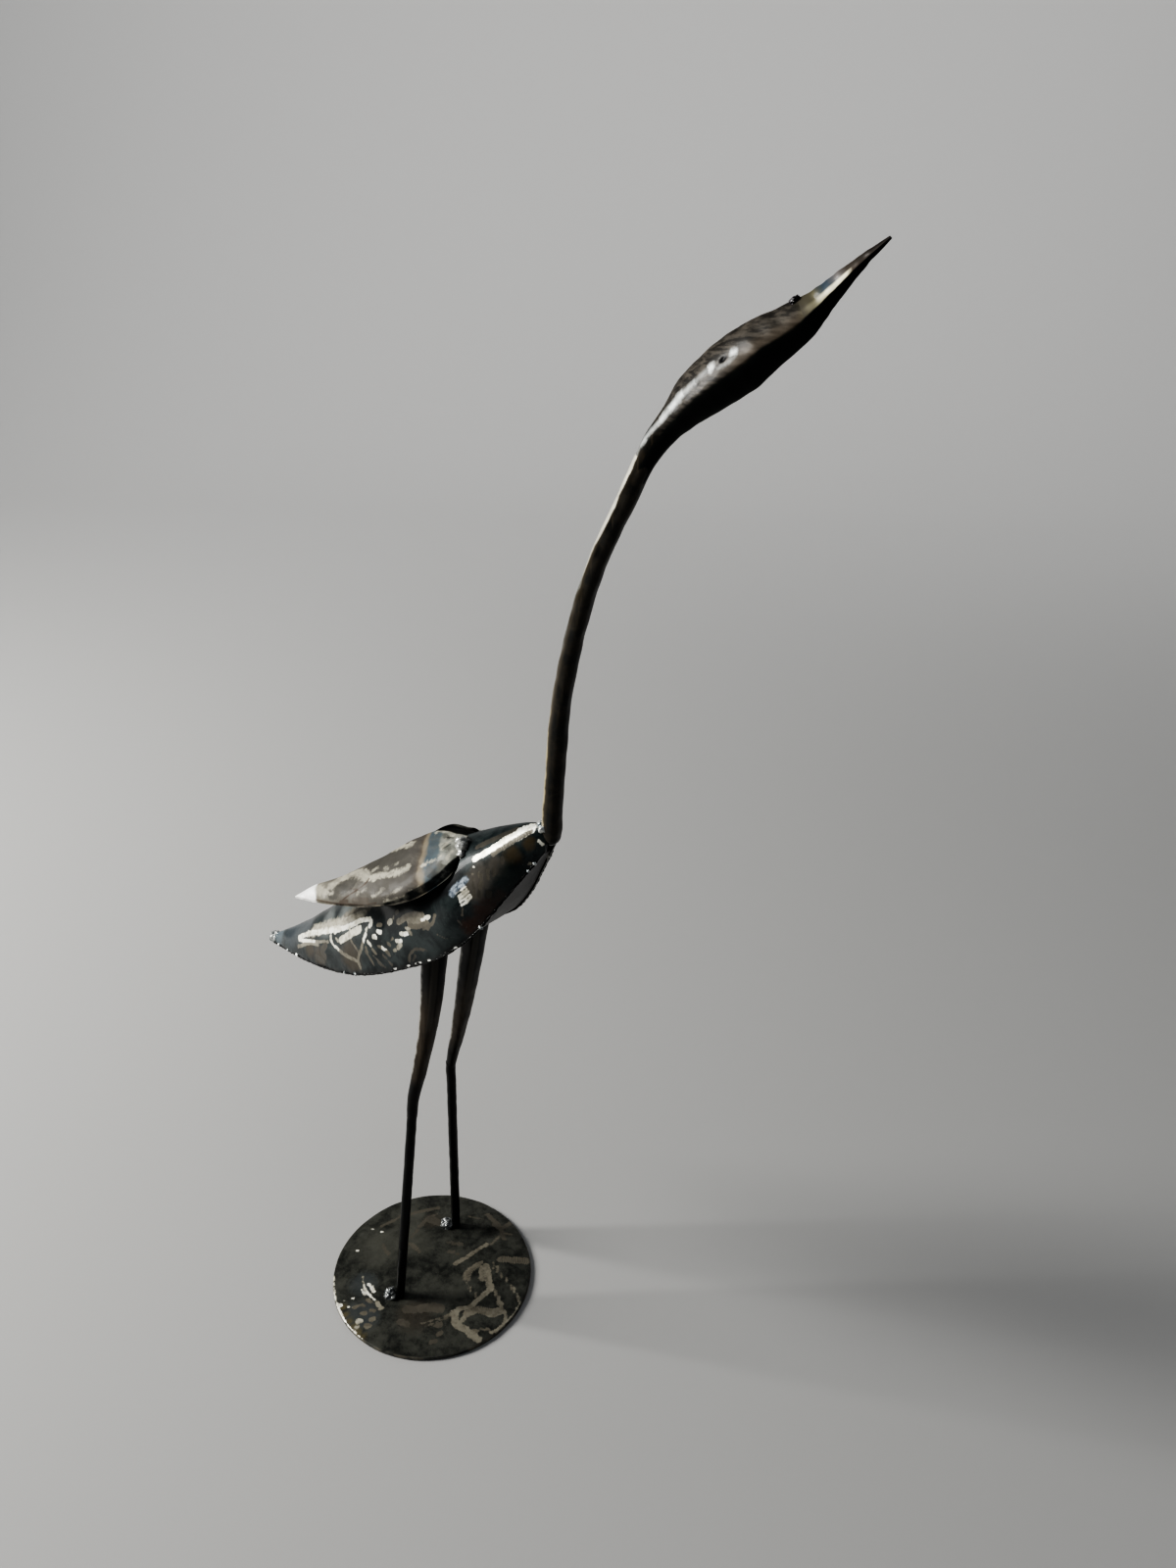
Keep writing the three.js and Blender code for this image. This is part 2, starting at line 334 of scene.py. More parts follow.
def makeMarkShape():
    # steel ground bright along a mark: the mark's edge wanders and has teeth where the
    # grinder jumped, and fine hatching runs across it
    # the same shapes also carry the painted highlights and painted shade
    given = startGroup("markShape", {
        "Mark": (0, 0, 0), "Tooth": 1.5, "Teeth": 0.5, "Wander": 1.0, "Soft": 0.4, "Hatch": 0.3})
    depth, along, shine = apart(given["Mark"])
    wander = times(calc("SUBTRACT", noise(350.0, 4.0, 0.6), 0.5), given["Wander"])
    phase = scaled(noise(120.0, 2.0), 5.0, calc("DIVIDE", along, given["Tooth"]))
    wave = calc("SINE", times(phase, 2 * math.pi))
    edge = scaled(wander, 2.0, scaled(wave, times(given["Teeth"], 0.5), depth))
    mask = spread(calc("DIVIDE", edge, given["Soft"]), -0.5, 0.5)
    lines = spread(wave, -1.0, 0.6, calc("SUBTRACT", 1.0, given["Hatch"]), 1.0)
    patchy = spread(noise(260.0, 3.0), 0.3, 0.6, 0.75, 1.0)
    return finishGroup({"Mask": times(mask, lines), "Shine": times(shine, patchy)})


def makeStain():
    # a soft blot round a point, its edge pulled about by noise
    given = startGroup("stain", {"Centre": (0, 0, 0), "Size": 0.01, "Softness": 0.5, "Wander": 0.6})
    ends = {0: given["Vector"], 1: given["Centre"]}
    away = addNode("VectorMath", ends, operation="DISTANCE").outputs["Value"]
    away = jitter(calc("DIVIDE", away, given["Size"]), 220.0, given["Wander"], 5.0, 0.6)
    return finishGroup({"Mask": spread(away, calc("SUBTRACT", 1.0, given["Softness"]), 1.0, 1.0, 0.0)})


def makeMottle():
    # blotches of two sizes and fine specks, as on steel lacquered over old heat scale
    given = startGroup("mottle", {"Blot Size": 8.0})
    scale = calc("DIVIDE", 1000.0, given["Blot Size"])
    return finishGroup({
        "Blots": spread(noise(scale, 6.0, 0.62, 0.6), 0.38, 0.66),
        "Specks": spread(noise(times(scale, 7.0), 3.0, 0.7), 0.58, 0.74),
        "Rough": noise(times(scale, 2.5), 5.0),
    })


hammered = makeHammered()
markShape = makeMarkShape()
stain = makeStain()
mottle = makeMottle()
print("shader groups made")


def startMaterial(name, coat, coatRough, specular, blotSize=0.0):
    # lacquer over steel: how thick and how rough the coat is, how much the steel mirrors
    material = bpy.data.materials.new(name)
    material.use_nodes = True
    shader = material.node_tree.nodes["Principled BSDF"]
    bench.update(material=material, tree=material.node_tree, shader=shader)
    bench["where"] = addNode("TexCoord").outputs["Object"]
    join(shader, {"Coat Weight": coat, "Coat Roughness": coatRough, "Specular IOR Level": specular})
    if blotSize:
        bench["mottle"] = useGroup(mottle, {"Blot Size": blotSize})


def finishMaterial(metal, rough, height, bump, distance=0.0006):
    inputs = {"Height": height, "Strength": bump, "Distance": distance}
    normal = addNode("Bump", inputs).outputs["Normal"]
    inputs = {"Base Color": bench["colour"], "Metallic": metal, "Roughness": rough, "Normal": normal}
    join(bench["shader"], inputs)
    return bench["material"]


def undercoat(colour):
    bench["colour"] = colour


def lay(share, over):
    # a colour laid over those before it, as far as its share goes
    bench["colour"] = blendColour(share, bench["colour"], over)


def blots(share=1.0):
    return bench["mottle"]["Blots"] if share == 1.0 else times(bench["mottle"]["Blots"], share)


def specks(share):
    return times(bench["mottle"]["Specks"], share)


def unevenRough(change, least):
    # roughness from least to least plus change, as the blotches go
    return scaled(bench["mottle"]["Rough"], change, least)


def dinted(size, grain=0.3):
    return useGroup(hammered, {"Dint Size": size, "Grain": grain})["Height"]


def useMark(field, wander, soft, tooth=1.5, teeth=0.0, hatch=0.0):
    # where the marks of a field lie, and how bright they are; all but hatch in millimetres
    inputs = {"Tooth": tooth, "Teeth": teeth, "Wander": wander, "Soft": soft, "Hatch": hatch}
    mark = useGroup(markShape, {"Mark": readField(field), **inputs})
    return mark["Mask"], mark["Shine"]


def blot(places, over, strength, softness=0.6, wander=0.7):
    # a colour laid in soft spots, each a centre and a size in millimetres
    for *centre, size in places:
        inputs = {"Centre": tuple(c * millimetre for c in centre), "Size": size * millimetre,
                  "Softness": softness, "Wander": wander}
        lay(times(useGroup(stain, inputs)["Mask"], strength), over)


markColours = [
    (0.0, (0.006, 0.007, 0.007)), (0.2, (0.070, 0.064, 0.052)), (0.35, (0.125, 0.113, 0.088)),
    (0.5, (0.23, 0.215, 0.17)), (0.7, (0.44, 0.42, 0.34)), (0.85, (0.66, 0.64, 0.54)),
    (1.0, (0.88, 0.87, 0.79)),
]


# round base

base = dict(
    radius=65.0, rim=3.0, edge=0.9, crown=5.6, columns=440, underRows=14, topRows=76, dent=0.16, pull=0.004,
)
baseBands = [
    # the long looping bands on the side to the right of the bird's breast
    (2.8, 0.36, (10.3, 11.1), (12.1, 16.4), (13.8, 21.7), (15.6, 29.1), (17.4, 35.7)),
    (1.8, 0.26, (20.1, 37.7), (20.3, 44.2), (21, 50.2), (25.8, 52.8)),
    (3.4, 0.16, (11.2, 52.9), (17.2, 53), (19, 59.9)),
    (2.4, 0.32, (23, 4.6), (21.1, 7), (20.8, 11.7), (22.1, 18.6), (23.8, 21.8)),
    (3.4, 0.34, (32, 11.1), (27.2, 17.3), (27.4, 21.4)),
    (3.0, 0.37, (28.5, 22.2), (32.9, 17.5), (36.5, 14.3), (41.2, 10.2)),
    (3.4, 0.42, (41.4, 9.4), (40.7, 5.1), (39.6, -3.1), (39.1, -8.8), (34.8, -13.6), (33.1, -17.5), (31.8, -21)),
    (2.2, 0.3, (31.8, -21), (30.1, -23.9)),
    (5.2, 0.4, (34.8, -19.8), (38.4, -24.2), (46.1, -23.8), (51.2, -24.3), (56.3, -24.8)),
    (3.2, 0.38, (40.6, -20.9), (40.5, -16.7), (42.9, -10.5), (47.1, -6.6)),
    (5.6, 0.4, (52, -5.7), (55.8, -1.2)),
    (2.4, 0.42, (58.3, 0.8), (62, -2.7), (63.2, -6.9), (62.3, -13.2), (60.6, -16.5)),
    (1.1, 0.5, (62.8, 12), (64, 4.1), (64, -2.5), (63.3, -10)),
    # single dabs along them
    (1.0, 0.34, (25.6, 3.6), (27.2, 1.2)), (1.0, 0.34, (27.9, 2.8), (29.6, 0.4)),
    (1.0, 0.34, (30, 2.2), (31.8, -0.6)), (1.4, 0.34, (35.5, 1), (37.2, -1.8)),
    (1.8, 0.3, (50.5, -21.3), (53, -20.5)), (1.6, 0.3, (53.8, -18), (56.2, -17.4)),
    (1.4, 0.28, (56.2, -15.6), (58.2, -15)), (2.2, 0.34, (44.9, 9.2), (46.7, 6.6)),
    (2.6, 0.38, (49.4, 6.5), (51.6, 3.3)), (2.6, 0.38, (53.4, 4.2), (55.8, 0.8)),
    (1.5, 0.28, (30.5, 26.3), (33, 22.9)), (1.4, 0.3, (34.5, 25.2), (36.9, 22)),
    (1.3, 0.26, (39.7, 22.6), (41.7, 20)), (1.3, 0.32, (44.6, 21.6), (46.6, 18.8)),
    (1.2, 0.3, (50.4, 19.2), (52.4, 16.4)), (1.6, 0.42, (52.8, 19.2), (55, 16.2)),
    (1.4, 0.4, (57.5, 16.2), (59.5, 13.3)), (1.2, 0.36, (60.1, 14.2), (61.9, 11.4)),
    # worn grey patches and fine scratches in front of the near foot
    (6.5, 0.17, (13.9, -28.1), (18.7, -23.9), (23.9, -21.3)), (5.5, 0.15, (6, -34), (11, -31)),
    (4.5, 0.16, (9, -42.6), (14, -42)), (0.9, 0.25, (20.7, -36.3), (26.8, -28.8), (32.3, -21.6)),
    (0.9, 0.22, (24, -37), (28.5, -29.5), (33, -22)), (4.0, 0.2, (29.9, -31.7), (31, -30.5)),
    (2.4, 0.2, (34.4, -36.1), (35.2, -34)), (3.0, 0.18, (34.2, -42.8), (35.5, -41)),
    (3.4, 0.16, (0.8, 16.6), (3, 17.4)), (2.0, 0.14, (6.3, 18.3), (7, 18)),
    # the bright scratch beside that foot, its dabs and its specks
    (0.9, 0.5, (-34.1, -30.3), (-29.6, -34.8)), (1.2, 0.95, (-29.6, -34.8), (-23.2, -38)),
    (2.0, 1.0, (-23.2, -38), (-20.1, -38.7)), (1.2, 0.9, (-20.1, -38.7), (-14.8, -39.7)),
    (2.8, 0.45, (-12.8, -40.5), (-7.6, -42.1)), (0.9, 0.95, (-27.6, -38.5), (-23.6, -40)),
    (2.2, 0.95, (-26.3, -32.7), (-20.4, -35.4)), (2.0, 1.0, (-28.5, -46.4), (-28, -46.2)),
    (1.1, 0.9, (-31.6, -50.5), (-31.2, -50.4)), (1.3, 0.95, (-26.1, -52.7), (-25.7, -52.5)),
    (1.3, 0.95, (-55.8, 2.6), (-55.4, 2.8)), (1.5, 0.95, (-48.9, 4.2), (-48.5, 4.4)),
    (1.5, 0.95, (-51.7, -16.8), (-51.2, -16.7)), (2.6, 1.0, (-31.6, -54), (-31, -54.5)),
    (3.4, 0.62, (-13.8, -56.8), (-13, -55.8)), (3.0, 0.3, (-15.5, -51.2), (-14, -50)),
    (3.2, 0.3, (-18.6, -42.1), (-16.5, -42)), (3.4, 0.33, (-7.7, -51.4), (-6.8, -50.5)),
    (3.6, 0.33, (-7.1, -56.8), (-6, -56)), (2.2, 0.55, (-12.5, -60.9), (-11.5, -60.2)),
    (3.0, 0.26, (-12, -46.5), (-10.5, -46)), (2.6, 0.28, (-20, -47), (-18.5, -46.5)),
    (2.4, 0.3, (-22.5, -51), (-21.5, -49)), (1.1, 0.85, (-51, -40), (-42, -49), (-31.6, -56)),
    (1.6, 0.95, (-31.6, -56), (-23.4, -60.2), (-16, -62.8), (-8.7, -64.2), (-3.9, -64.6)),
    # faint bands on the far side
    (1.6, 0.18, (-30, 21), (-30, 30), (-27, 38)), (1.6, 0.16, (-28, 12), (-29, 21), (-29, 29)),
    (6.0, 0.14, (-28, 31), (-21, 32)), (3.0, 0.18, (-45, 24), (-38, 33), (-30, 42)),
    (2.2, 0.18, (-52, 8), (-47, 20), (-48, 30)), (3.2, 0.18, (2, 57), (14, 54), (24, 47)),
    (1.2, 0.16, (-8, 48), (2, 52)),
]
# rows of short dabs left by the edge of the wheel
baseDabs = [
    (5.2, 0.26, (33, 31.6), (38.6, 35.3), (43.1, 38.3), (48, 41.6)),
    (3.2, 0.3, (25, 6), (22.4, 9), (22.6, 13), (24, 18.6)), (4.4, 0.36, (29, 20), (34, 15), (40, 10)),
    (5.4, 0.34, (40, -14), (44, -8.6), (50, -5.4)), (2.6, 0.22, (-25, 7), (-16, 5)),
    (2.2, 0.18, (-40, -4), (-31, -8)), (2.4, 0.16, (-4, 22), (4, 26)),
]


def baseTop(x, y):
    # the top is a low dome: it falls from crown to rim as the square of the distance out
    share = np.minimum(np.hypot(x, y) / base["radius"], 1)
    return np.stack([x, y, base["crown"] + (base["rim"] - base["crown"]) * share ** 2], -1)


def makeBase():
    # one profile from the middle of the underside, over the rim and up to the crown, turned once round
    radius, rim, edge = base["radius"], base["rim"], base["edge"]
    overRim = np.linspace(0, math.pi / 2, 6)
    underRim = np.linspace(-math.pi / 2, 0, 5)[:-1]
    inwards = np.linspace(radius - edge, 0.4, base["topRows"])[1:]
    out = np.concatenate([
        np.linspace(2, radius - edge - 0.5, base["underRows"]), radius - edge + edge * np.cos(underRim),
        radius - edge + edge * np.cos(overRim), inwards,
    ])
    height = np.concatenate([
        np.zeros(base["underRows"]), edge + edge * np.sin(underRim), rim - edge + edge * np.sin(overRim),
        base["crown"] + (rim - base["crown"]) * (inwards / radius) ** 2,
    ])
    turn = turns(base["columns"])
    rings = np.stack(np.broadcast_arrays(
        out[:, None] * np.cos(turn), out[:, None] * np.sin(turn), height[:, None]), -1)
    # hammered a little uneven: the top sinks in places and the rim is never quite round
    rings[..., 2] -= base["dent"] * ease(rings[..., 2], 1.0, rim) * (1 + ripple(rings, 17, 3))
    pull = 1 - base["pull"] * ease(out, 50, radius)[:, None] * (1 + ripple(rings, 26, 5)) / 2
    rings[..., :2] *= pull[..., None]
    points = rings.reshape(-1, 3)
    fields = {
        "bands": markField(points, baseTop, baseBands),
        "dabs": markField(points, baseTop, baseDabs),
        "fromRim": radius - np.hypot(points[:, 0], points[:, 1]),
    }
    return makeSkin("baseDisc", rings, ["base_disc"], makeBaseSteel(), fields, 35)


def makeBaseSteel():
    startMaterial("lacqueredBase", 0.45, 0.13, 0.1, 5.0)
    undercoat(blendColour(blots(), (0.017, 0.018, 0.016), (0.040, 0.041, 0.035)))
    lay(times(spread(noise(60.0, 6.0, 0.72), 0.40, 0.66), 0.75), (0.074, 0.075, 0.063))
    # blue grey clouds beside the bright scratch and brown ones in front; the pale clouds towards the back are a
    # painted sheen, and the straw along the near back rim is a painted reflection
    blot([(-15, -52, 4, 15), (-30, -34, 4, 12)], (0.070, 0.078, 0.080), 0.55)
    blot([(-40, -8, 5, 24), (-22, 10, 5, 16), (-40, 22, 5, 16)], (0.090, 0.090, 0.075), 0.45)
    blot([(14, -34, 4, 16), (-26, 31, 4, 9)], (0.052, 0.044, 0.034), 0.6)
    # painted reflection: straw where the rim faces the window lamp
    rimSheenPlaces = [(-29, -54.5), (-24, -57.5), (-19, -59.5), (-14, -61), (-9, -62), (-4, -63)]
    blot([(x, y, 3, 4) for x, y in rimSheenPlaces], (0.125, 0.105, 0.052), 0.6, 0.9, 1.3)
    lay(specks(0.5), (0.10, 0.10, 0.085))
    for field, tooth, teeth, hatch, wander in (("bands", 1.9, 0.2, 0.06, 1.8), ("dabs", 1.4, 0.4, 0.4, 2.2)):
        mask, shine = useMark(field, wander, 0.8, tooth, teeth, hatch)
        lay(mask, colourRamp(scaled(shine, 0.90, 0.10), markColours))
    # a pale edge round the rim: partly wear, partly a painted highlight where the edge catches the light
    paleEdge = times(spread(readValue("fromRim"), 0.9, 0.1), spread(noise(90.0), 0.42, 0.6))
    lay(times(paleEdge, 0.7), (0.16, 0.145, 0.11))
    return finishMaterial(0.15, unevenRough(0.25, 0.3), dinted(11.0), 0.16)


# legs

legs = {
    "right": dict(foot=(-3.7, -28.5), thigh=[
        (0.0, 11.2, -22.2, 174, 3.4), (1.0, 14.8, -20.4, 193.6, 4.0), (2.3, 19.4, -17.9, 220, 4.75),
        (3.5, 22.1, -15.9, 243, 5.75), (4.8, 23.5, -13.3, 270, 6.7), (6.0, 24.3, -11.5, 292, 7.1)]),
    "left": dict(foot=(-9.5, 36.5), thigh=[
        (0.0, -0.3, 26.0, 159.5, 3.1), (1.2, 5.5, 24.9, 183, 3.95), (2.7, 12.8, 23.4, 213, 5.1),
        (4.8, 21.5, 21.4, 254, 6.35), (6.6, 28.5, 19.7, 292, 7.2)]),
}
rod = dict(radius=3.0, rows=150, columns=24, wobble=0.12)
thigh = dict(rows=120, columns=44, square=0.05, dints=((0.16, 22, 21), (0.10, 9, 25)), litSide=211, quarter=312)
footWeld = dict(size=(4.4, 4.4 * 0.9, 3.6), back=5.4, out=3.0)
knee = dict(below=13.0, radius=3.12, share=-1.1)


def makeLeg(side, rodSteel, thighSteel):
    foot = np.array([*legs[side]["foot"], base["crown"] - 1.2])
    bend = np.array(legs[side]["thigh"][0][1:4])
    down = unit(foot - bend)
    forward = np.array([1.0, 0, 0])
    part = np.linspace(0, 1, rod["rows"])[:, None]
    bar = tube(foot + (bend - down * 3 - foot) * part, rod["radius"], rod["columns"], forward)
    bar = pushed(bar, rod["wobble"] * (ripple(bar, 13, 11) - 0.6))
    makeSkin(side + "Rod", bar, [side + "_shin"], rodSteel)
    # the thigh is a tube beaten flat-sided and dinted, its end beaten down over the rod
    rows = [(knee["share"], *(bend + down * knee["below"]), knee["radius"]), *legs[side]["thigh"]]
    shape = smooth(rows, np.linspace(rows[0][0], rows[-1][0], thigh["rows"]))
    middle, turn = shape[:, None, :3], turns(thigh["columns"])
    pipe = tube(shape[:, :3], shape[:, 3], thigh["columns"], forward)
    square = 1 - thigh["square"] * np.cos(4 * turn + 0.4) * ease(shape[:, 2:3], bend[2], bend[2] + 25)
    pipe = middle + (pipe - middle) * square[..., None]
    dints = sum(depth * ripple(pipe, size, seed) for depth, size, seed in thigh["dints"])
    pipe = pushed(pipe, dints - 0.05)
    # how squarely each place looks to the side painted as lit and to the front quarter that has a painted sheen,
    # and how high it lies
    looks = [np.cos(turn - math.radians(90 + thigh[way])) for way in ("litSide", "quarter")]
    facing = np.stack(np.broadcast_arrays(*looks, pipe[..., 2] - bend[2]), -1)
    makeSkin(side + "Thigh", pipe, [side + "_thigh"], thighSteel, {"facing": facing})
    return foot


# body shell

bodyRows = [
    (-125, 1.2, 216, 219.5, 0), (-100, 9.5, 222.8, 237, 0), (-60, 21.5, 235, 270, 0.5),
    (-20, 30, 251.3, 304, 2.5), (20, 32.5, 275, 336, 4.5), (45, 31.5, 293.2, 351.5, 4.5),
    (58, 26.3, 307.2, 358.3, 0), (72, 16.1, 330.8, 365.2, 0), (86.5, 5, 355.5, 370.5, 0),
]
shell = dict(lip=1.6, inside=4.5, rows=[305, 50, 60], arch=[13, 58, 48, 58, 13], dent=0.55, edgeDent=0.3)
flankStrokes = [
    # the bright arm with its hook, and the lower arm it meets near the tail
    (2.8, 1.0, (-88, 38), (-76, 41.5), (-61.5, 39.3), (-46.5, 37.6), (-32, 38.2), (-23.5, 40), (-15.5, 38.5)),
    (3.0, 1.0, (-15.5, 38.5), (-13, 35), (-14, 33.5)), (2.4, 1.0, (-88, 38), (-84, 31.5), (-67.5, 28)),
    (1.9, 0.5, (-67.5, 28), (-52.5, 27.5)), (2.4, 0.5, (-86, 20), (-76.5, 26), (-63, 25.4)),
    (4.3, 0.2, (-54.5, 24.5), (-58, 17.5), (-55, 12.5)), (3.6, 0.17, (-65, 10.5), (-56.5, 7)),
    # strokes that cross below it
    (2.2, 1.0, (-50.5, 32.5), (-49.6, 29)), (1.8, 1.0, (-49.6, 29), (-46.5, 24), (-39.5, 19)),
    (2.2, 0.45, (-39.5, 19), (-30.5, 14), (-21.5, 10)), (1.4, 0.6, (-45, 30), (-41.5, 26.5)),
    (4.2, 0.86, (-39.5, 27.5), (-30.5, 31), (-23, 33.5)), (1.8, 0.9, (-33.5, 37.5), (-30.5, 32.5)),
    (1.6, 0.9, (-49.5, 38), (-47, 34.5)), (1.3, 0.35, (-29.5, 26), (-21.5, 17)),
    (2.4, 0.9, (-16.5, 32), (-16.5, 31)), (2.4, 1.0, (-16.5, 28.5), (-17, 27)),
    (2.3, 0.95, (-17.5, 25.5), (-17.5, 23.5)), (2.3, 0.42, (-18, 22.5), (-19, 18.5), (-21.5, 12), (-19.5, 5.5)),
    # dabs of the grinder behind the wing
    (2.2, 0.35, (-7, 32), (-4, 31.5)), (3.4, 0.75, (1.5, 31), (3, 31.5)), (1.3, 0.5, (4.5, 33), (4.5, 34)),
    (2.2, 0.3, (6, 36), (7, 36.5)), (2.4, 1.0, (-6, 28), (-3.5, 26.5)), (2.6, 1.0, (-9, 25), (-7, 24.5)),
    (1.9, 0.85, (-13.5, 22.5), (-11, 20)), (2.2, 0.4, (-9, 16.5), (-6.5, 13.5)),
    (2.2, 0.35, (-15, 19), (-13.5, 16)), (2.0, 0.4, (-4.5, 18), (-2.5, 17)),
    (2.0, 1.0, (-1.5, 16.5), (1.5, 14.5)), (2.0, 0.35, (2.5, 18.5), (4.5, 16.5)),
    (2.2, 0.3, (2, 13.5), (4.5, 11)), (2.3, 1.0, (9.5, 18), (12.5, 17.5)),
    (2.6, 0.6, (12.8, 15.4), (10.8, 13.9)), (2.0, 0.5, (9, 13.2), (7.8, 13)),
    (2.3, 1.0, (12, 21.5), (17, 20.5)), (1.9, 0.45, (18.5, 21), (20, 19.5)), (1.9, 0.6, (15.5, 24), (18, 23.5)),
    (1.4, 0.4, (6, 20.5), (5, 19.5)), (1.7, 0.28, (-15, 16.5), (-8, 7)), (1.7, 0.25, (-8.5, 12.5), (-4, 8)),
    (1.7, 0.22, (-0.5, 11.5), (6.5, 4.5)), (1.9, 0.2, (-4, 7.5), (1.5, 3.5)),
    # worn patch in the middle of the flank, its bright wedge last
    (3.6, 0.42, (9, 29.6), (13.5, 30.6), (19.5, 30.6), (27, 28.5)),
    (3.4, 0.36, (18, 25), (24.5, 23), (30.5, 23.8)), (4.8, 0.46, (17.5, 28), (24.5, 26.8)),
    (2.4, 0.96, (24.5, 26), (28, 26.5), (31.5, 26.8)), (1.9, 0.33, (31.5, 20), (34.5, 22.5), (35.5, 26.5)),
    (1.8, 0.3, (28, 20.5), (31.5, 23)), (1.6, 0.22, (19.5, 3.5), (20, 8), (24, 10), (31, 8)),
    (1.4, 0.15, (22, 3.5), (24, 6.5)), (0.8, 0.3, (38.5, 15), (44.5, 10)),
    # close bright scores under the front of the wing, all one way
    (0.7, 0.96, (46.5, 35), (49, 36), (51.5, 37)), (1.3, 0.78, (48.3, 32.6), (50.3, 33.5), (52.3, 34.4)),
    (1.3, 0.86, (49.4, 30.6), (51.4, 31.5), (53.5, 32.5)), (1.1, 1.0, (50, 28.3), (52.5, 28.8), (54.6, 29.8)),
    (1.3, 1.0, (51.3, 25.6), (53.5, 26.4), (55.8, 27.6)), (1.2, 0.25, (52, 23), (52, 19)),
    (1.2, 0.2, (50, 17), (52, 13.5)),
    # upright grey dabs on the shoulder
    (1.9, 0.24, (54.5, 39.5), (55.5, 35)), (2.0, 0.24, (56.5, 32.5), (57, 26.5)),
    (2.3, 0.28, (58.5, 40), (59.5, 30)), (2.0, 0.23, (59.5, 27.5), (60, 23.5)),
    (2.2, 0.28, (61.5, 40), (62.5, 32.5)), (2.0, 0.24, (64.5, 38), (65, 32)),
    (1.8, 0.30, (56.5, 42), (57.5, 39)), (1.8, 0.23, (67.5, 44), (68, 38)),
    (0.8, 0.42, (52.5, 44.5), (55.5, 43), (58, 44.5)), (1.0, 0.9, (52.5, 49.5), (53, 49)),
    (3.0, 0.14, (64, 20.5), (64, 18)),
    # the cone in front of the wings: the long white stripe is a painted highlight, the lamp's reflection,
    # between grey bands
    (3.3, 1.0, (51.6, 56), (57, 58), (64, 61.5), (70, 66.5), (76, 73)),
    (3.4, 0.13, (50, 67), (58, 70), (68, 77)), (2.6, 0.24, (62, 53), (70, 57), (78, 64)),
    (1.8, 0.9, (83.5, 36), (85.2, 24)), (1.6, 0.6, (80.2, 11), (81, 8)),
]
# the toothed upper edge of the bright arm, and the toothed upper end of the painted highlight on the cone
flankTeeth = [
    (3.4, 0.95, (-78, 41.4), (-61.5, 40), (-44, 38.8)), (6.2, 1.0, (65, 61), (71, 66), (77, 72.5)),
]
# soft ground haze over the bright arm
flankHaze = [
    (6.5, 0.64, (-72, 44), (-56.5, 45), (-43, 44), (-31.5, 45), (-23, 46.5)),
    (5.0, 0.42, (-40, 49), (-30, 50), (-20, 49)),
]
# a painted blue-white sheen where the wing's weld was laid, over the blue tint of its heat
flankBlueSheen = [
    (4.2, 1.0, (44.0, 36.8), (47, 39.5), (50, 41.8)),
]

flankMarks = dict(strokes=flankStrokes, teeth=flankTeeth, haze=flankHaze, blue=flankBlueSheen)


def bodyPoint(x, degrees):
    # over the lower edges stands half an ellipse: across by cosine, up by sine
    half, seam, back, sag = np.moveaxis(smooth(bodyRows, x), -1, 0)
    angle = np.radians(degrees)
    seam = seam - np.where(degrees > 90, sag, 0)
    return np.stack([x, midline - half * np.cos(angle), seam + (back - seam) * np.sin(angle)], -1)


def otherSide(x, degrees):
    # the left flank's marks: the right one's, mirrored and 5 mm further forward
    return bodyPoint(x + 5, 180 - degrees)


def makeShell(material):
    x = stepped([-125, 42, 57, 86.5], shell["rows"])
    half, seam, back, sag = smooth(bodyRows, x).T
    degrees = stepped([0, 16, 55, 125, 164, 180], shell["arch"])
    xs, angles = np.meshgrid(x, degrees, indexing="ij")
    arch = bodyPoint(xs, angles)
    # under the arch: the lip, a short wall up inside it, a flat ceiling, and the same down again
    lip = np.minimum(shell["lip"], half / 3)
    rise = np.minimum(shell["inside"], (back - seam) * 0.3)
    wall = half - lip
    under = np.stack([np.stack([x, midline + out, z], -1) for out, z in (
        (half - lip * 0.5, seam - sag - 0.15), (wall, seam - sag), (wall, seam - sag + rise),
        (half * 0, seam - sag / 2 + rise), (-wall, seam + rise), (-wall, seam), (lip * 0.5 - half, seam - 0.15),
    )], 1)
    # dints: broad ones everywhere and small hammered ones along the lower edges
    fromEdge = np.minimum(angles, 180 - angles)
    firm = ease(fromEdge, 0, 4) * ease(xs, -125, -112) * ease(-xs, -86.5, -78)
    dent = shell["dent"] * (ripple(arch, 26, 31) * 0.75 - 0.25) * firm
    low = (1 - ease(fromEdge, 1, 8)) * ease(xs, -125, -118)
    dent += shell["edgeDent"] * (ripple(arch, 8, 37, 14) - 0.3) * low
    rings = np.concatenate([arch + outward(arch) * dent[..., None], under], 1)
    points = rings.reshape(-1, 3)
    nearSide = (points[:, 1] < midline)[:, None]
    fields = {"edge": np.concatenate([fromEdge, np.zeros(under.shape[:2])], 1)}
    for name, marks in flankMarks.items():
        near, far = (markField(points, surface, marks) for surface in (bodyPoint, otherSide))
        fields[name] = np.where(nearSide, near, far)
    return makeSkin("bodyShell", rings, ["body"], material, fields, 50)


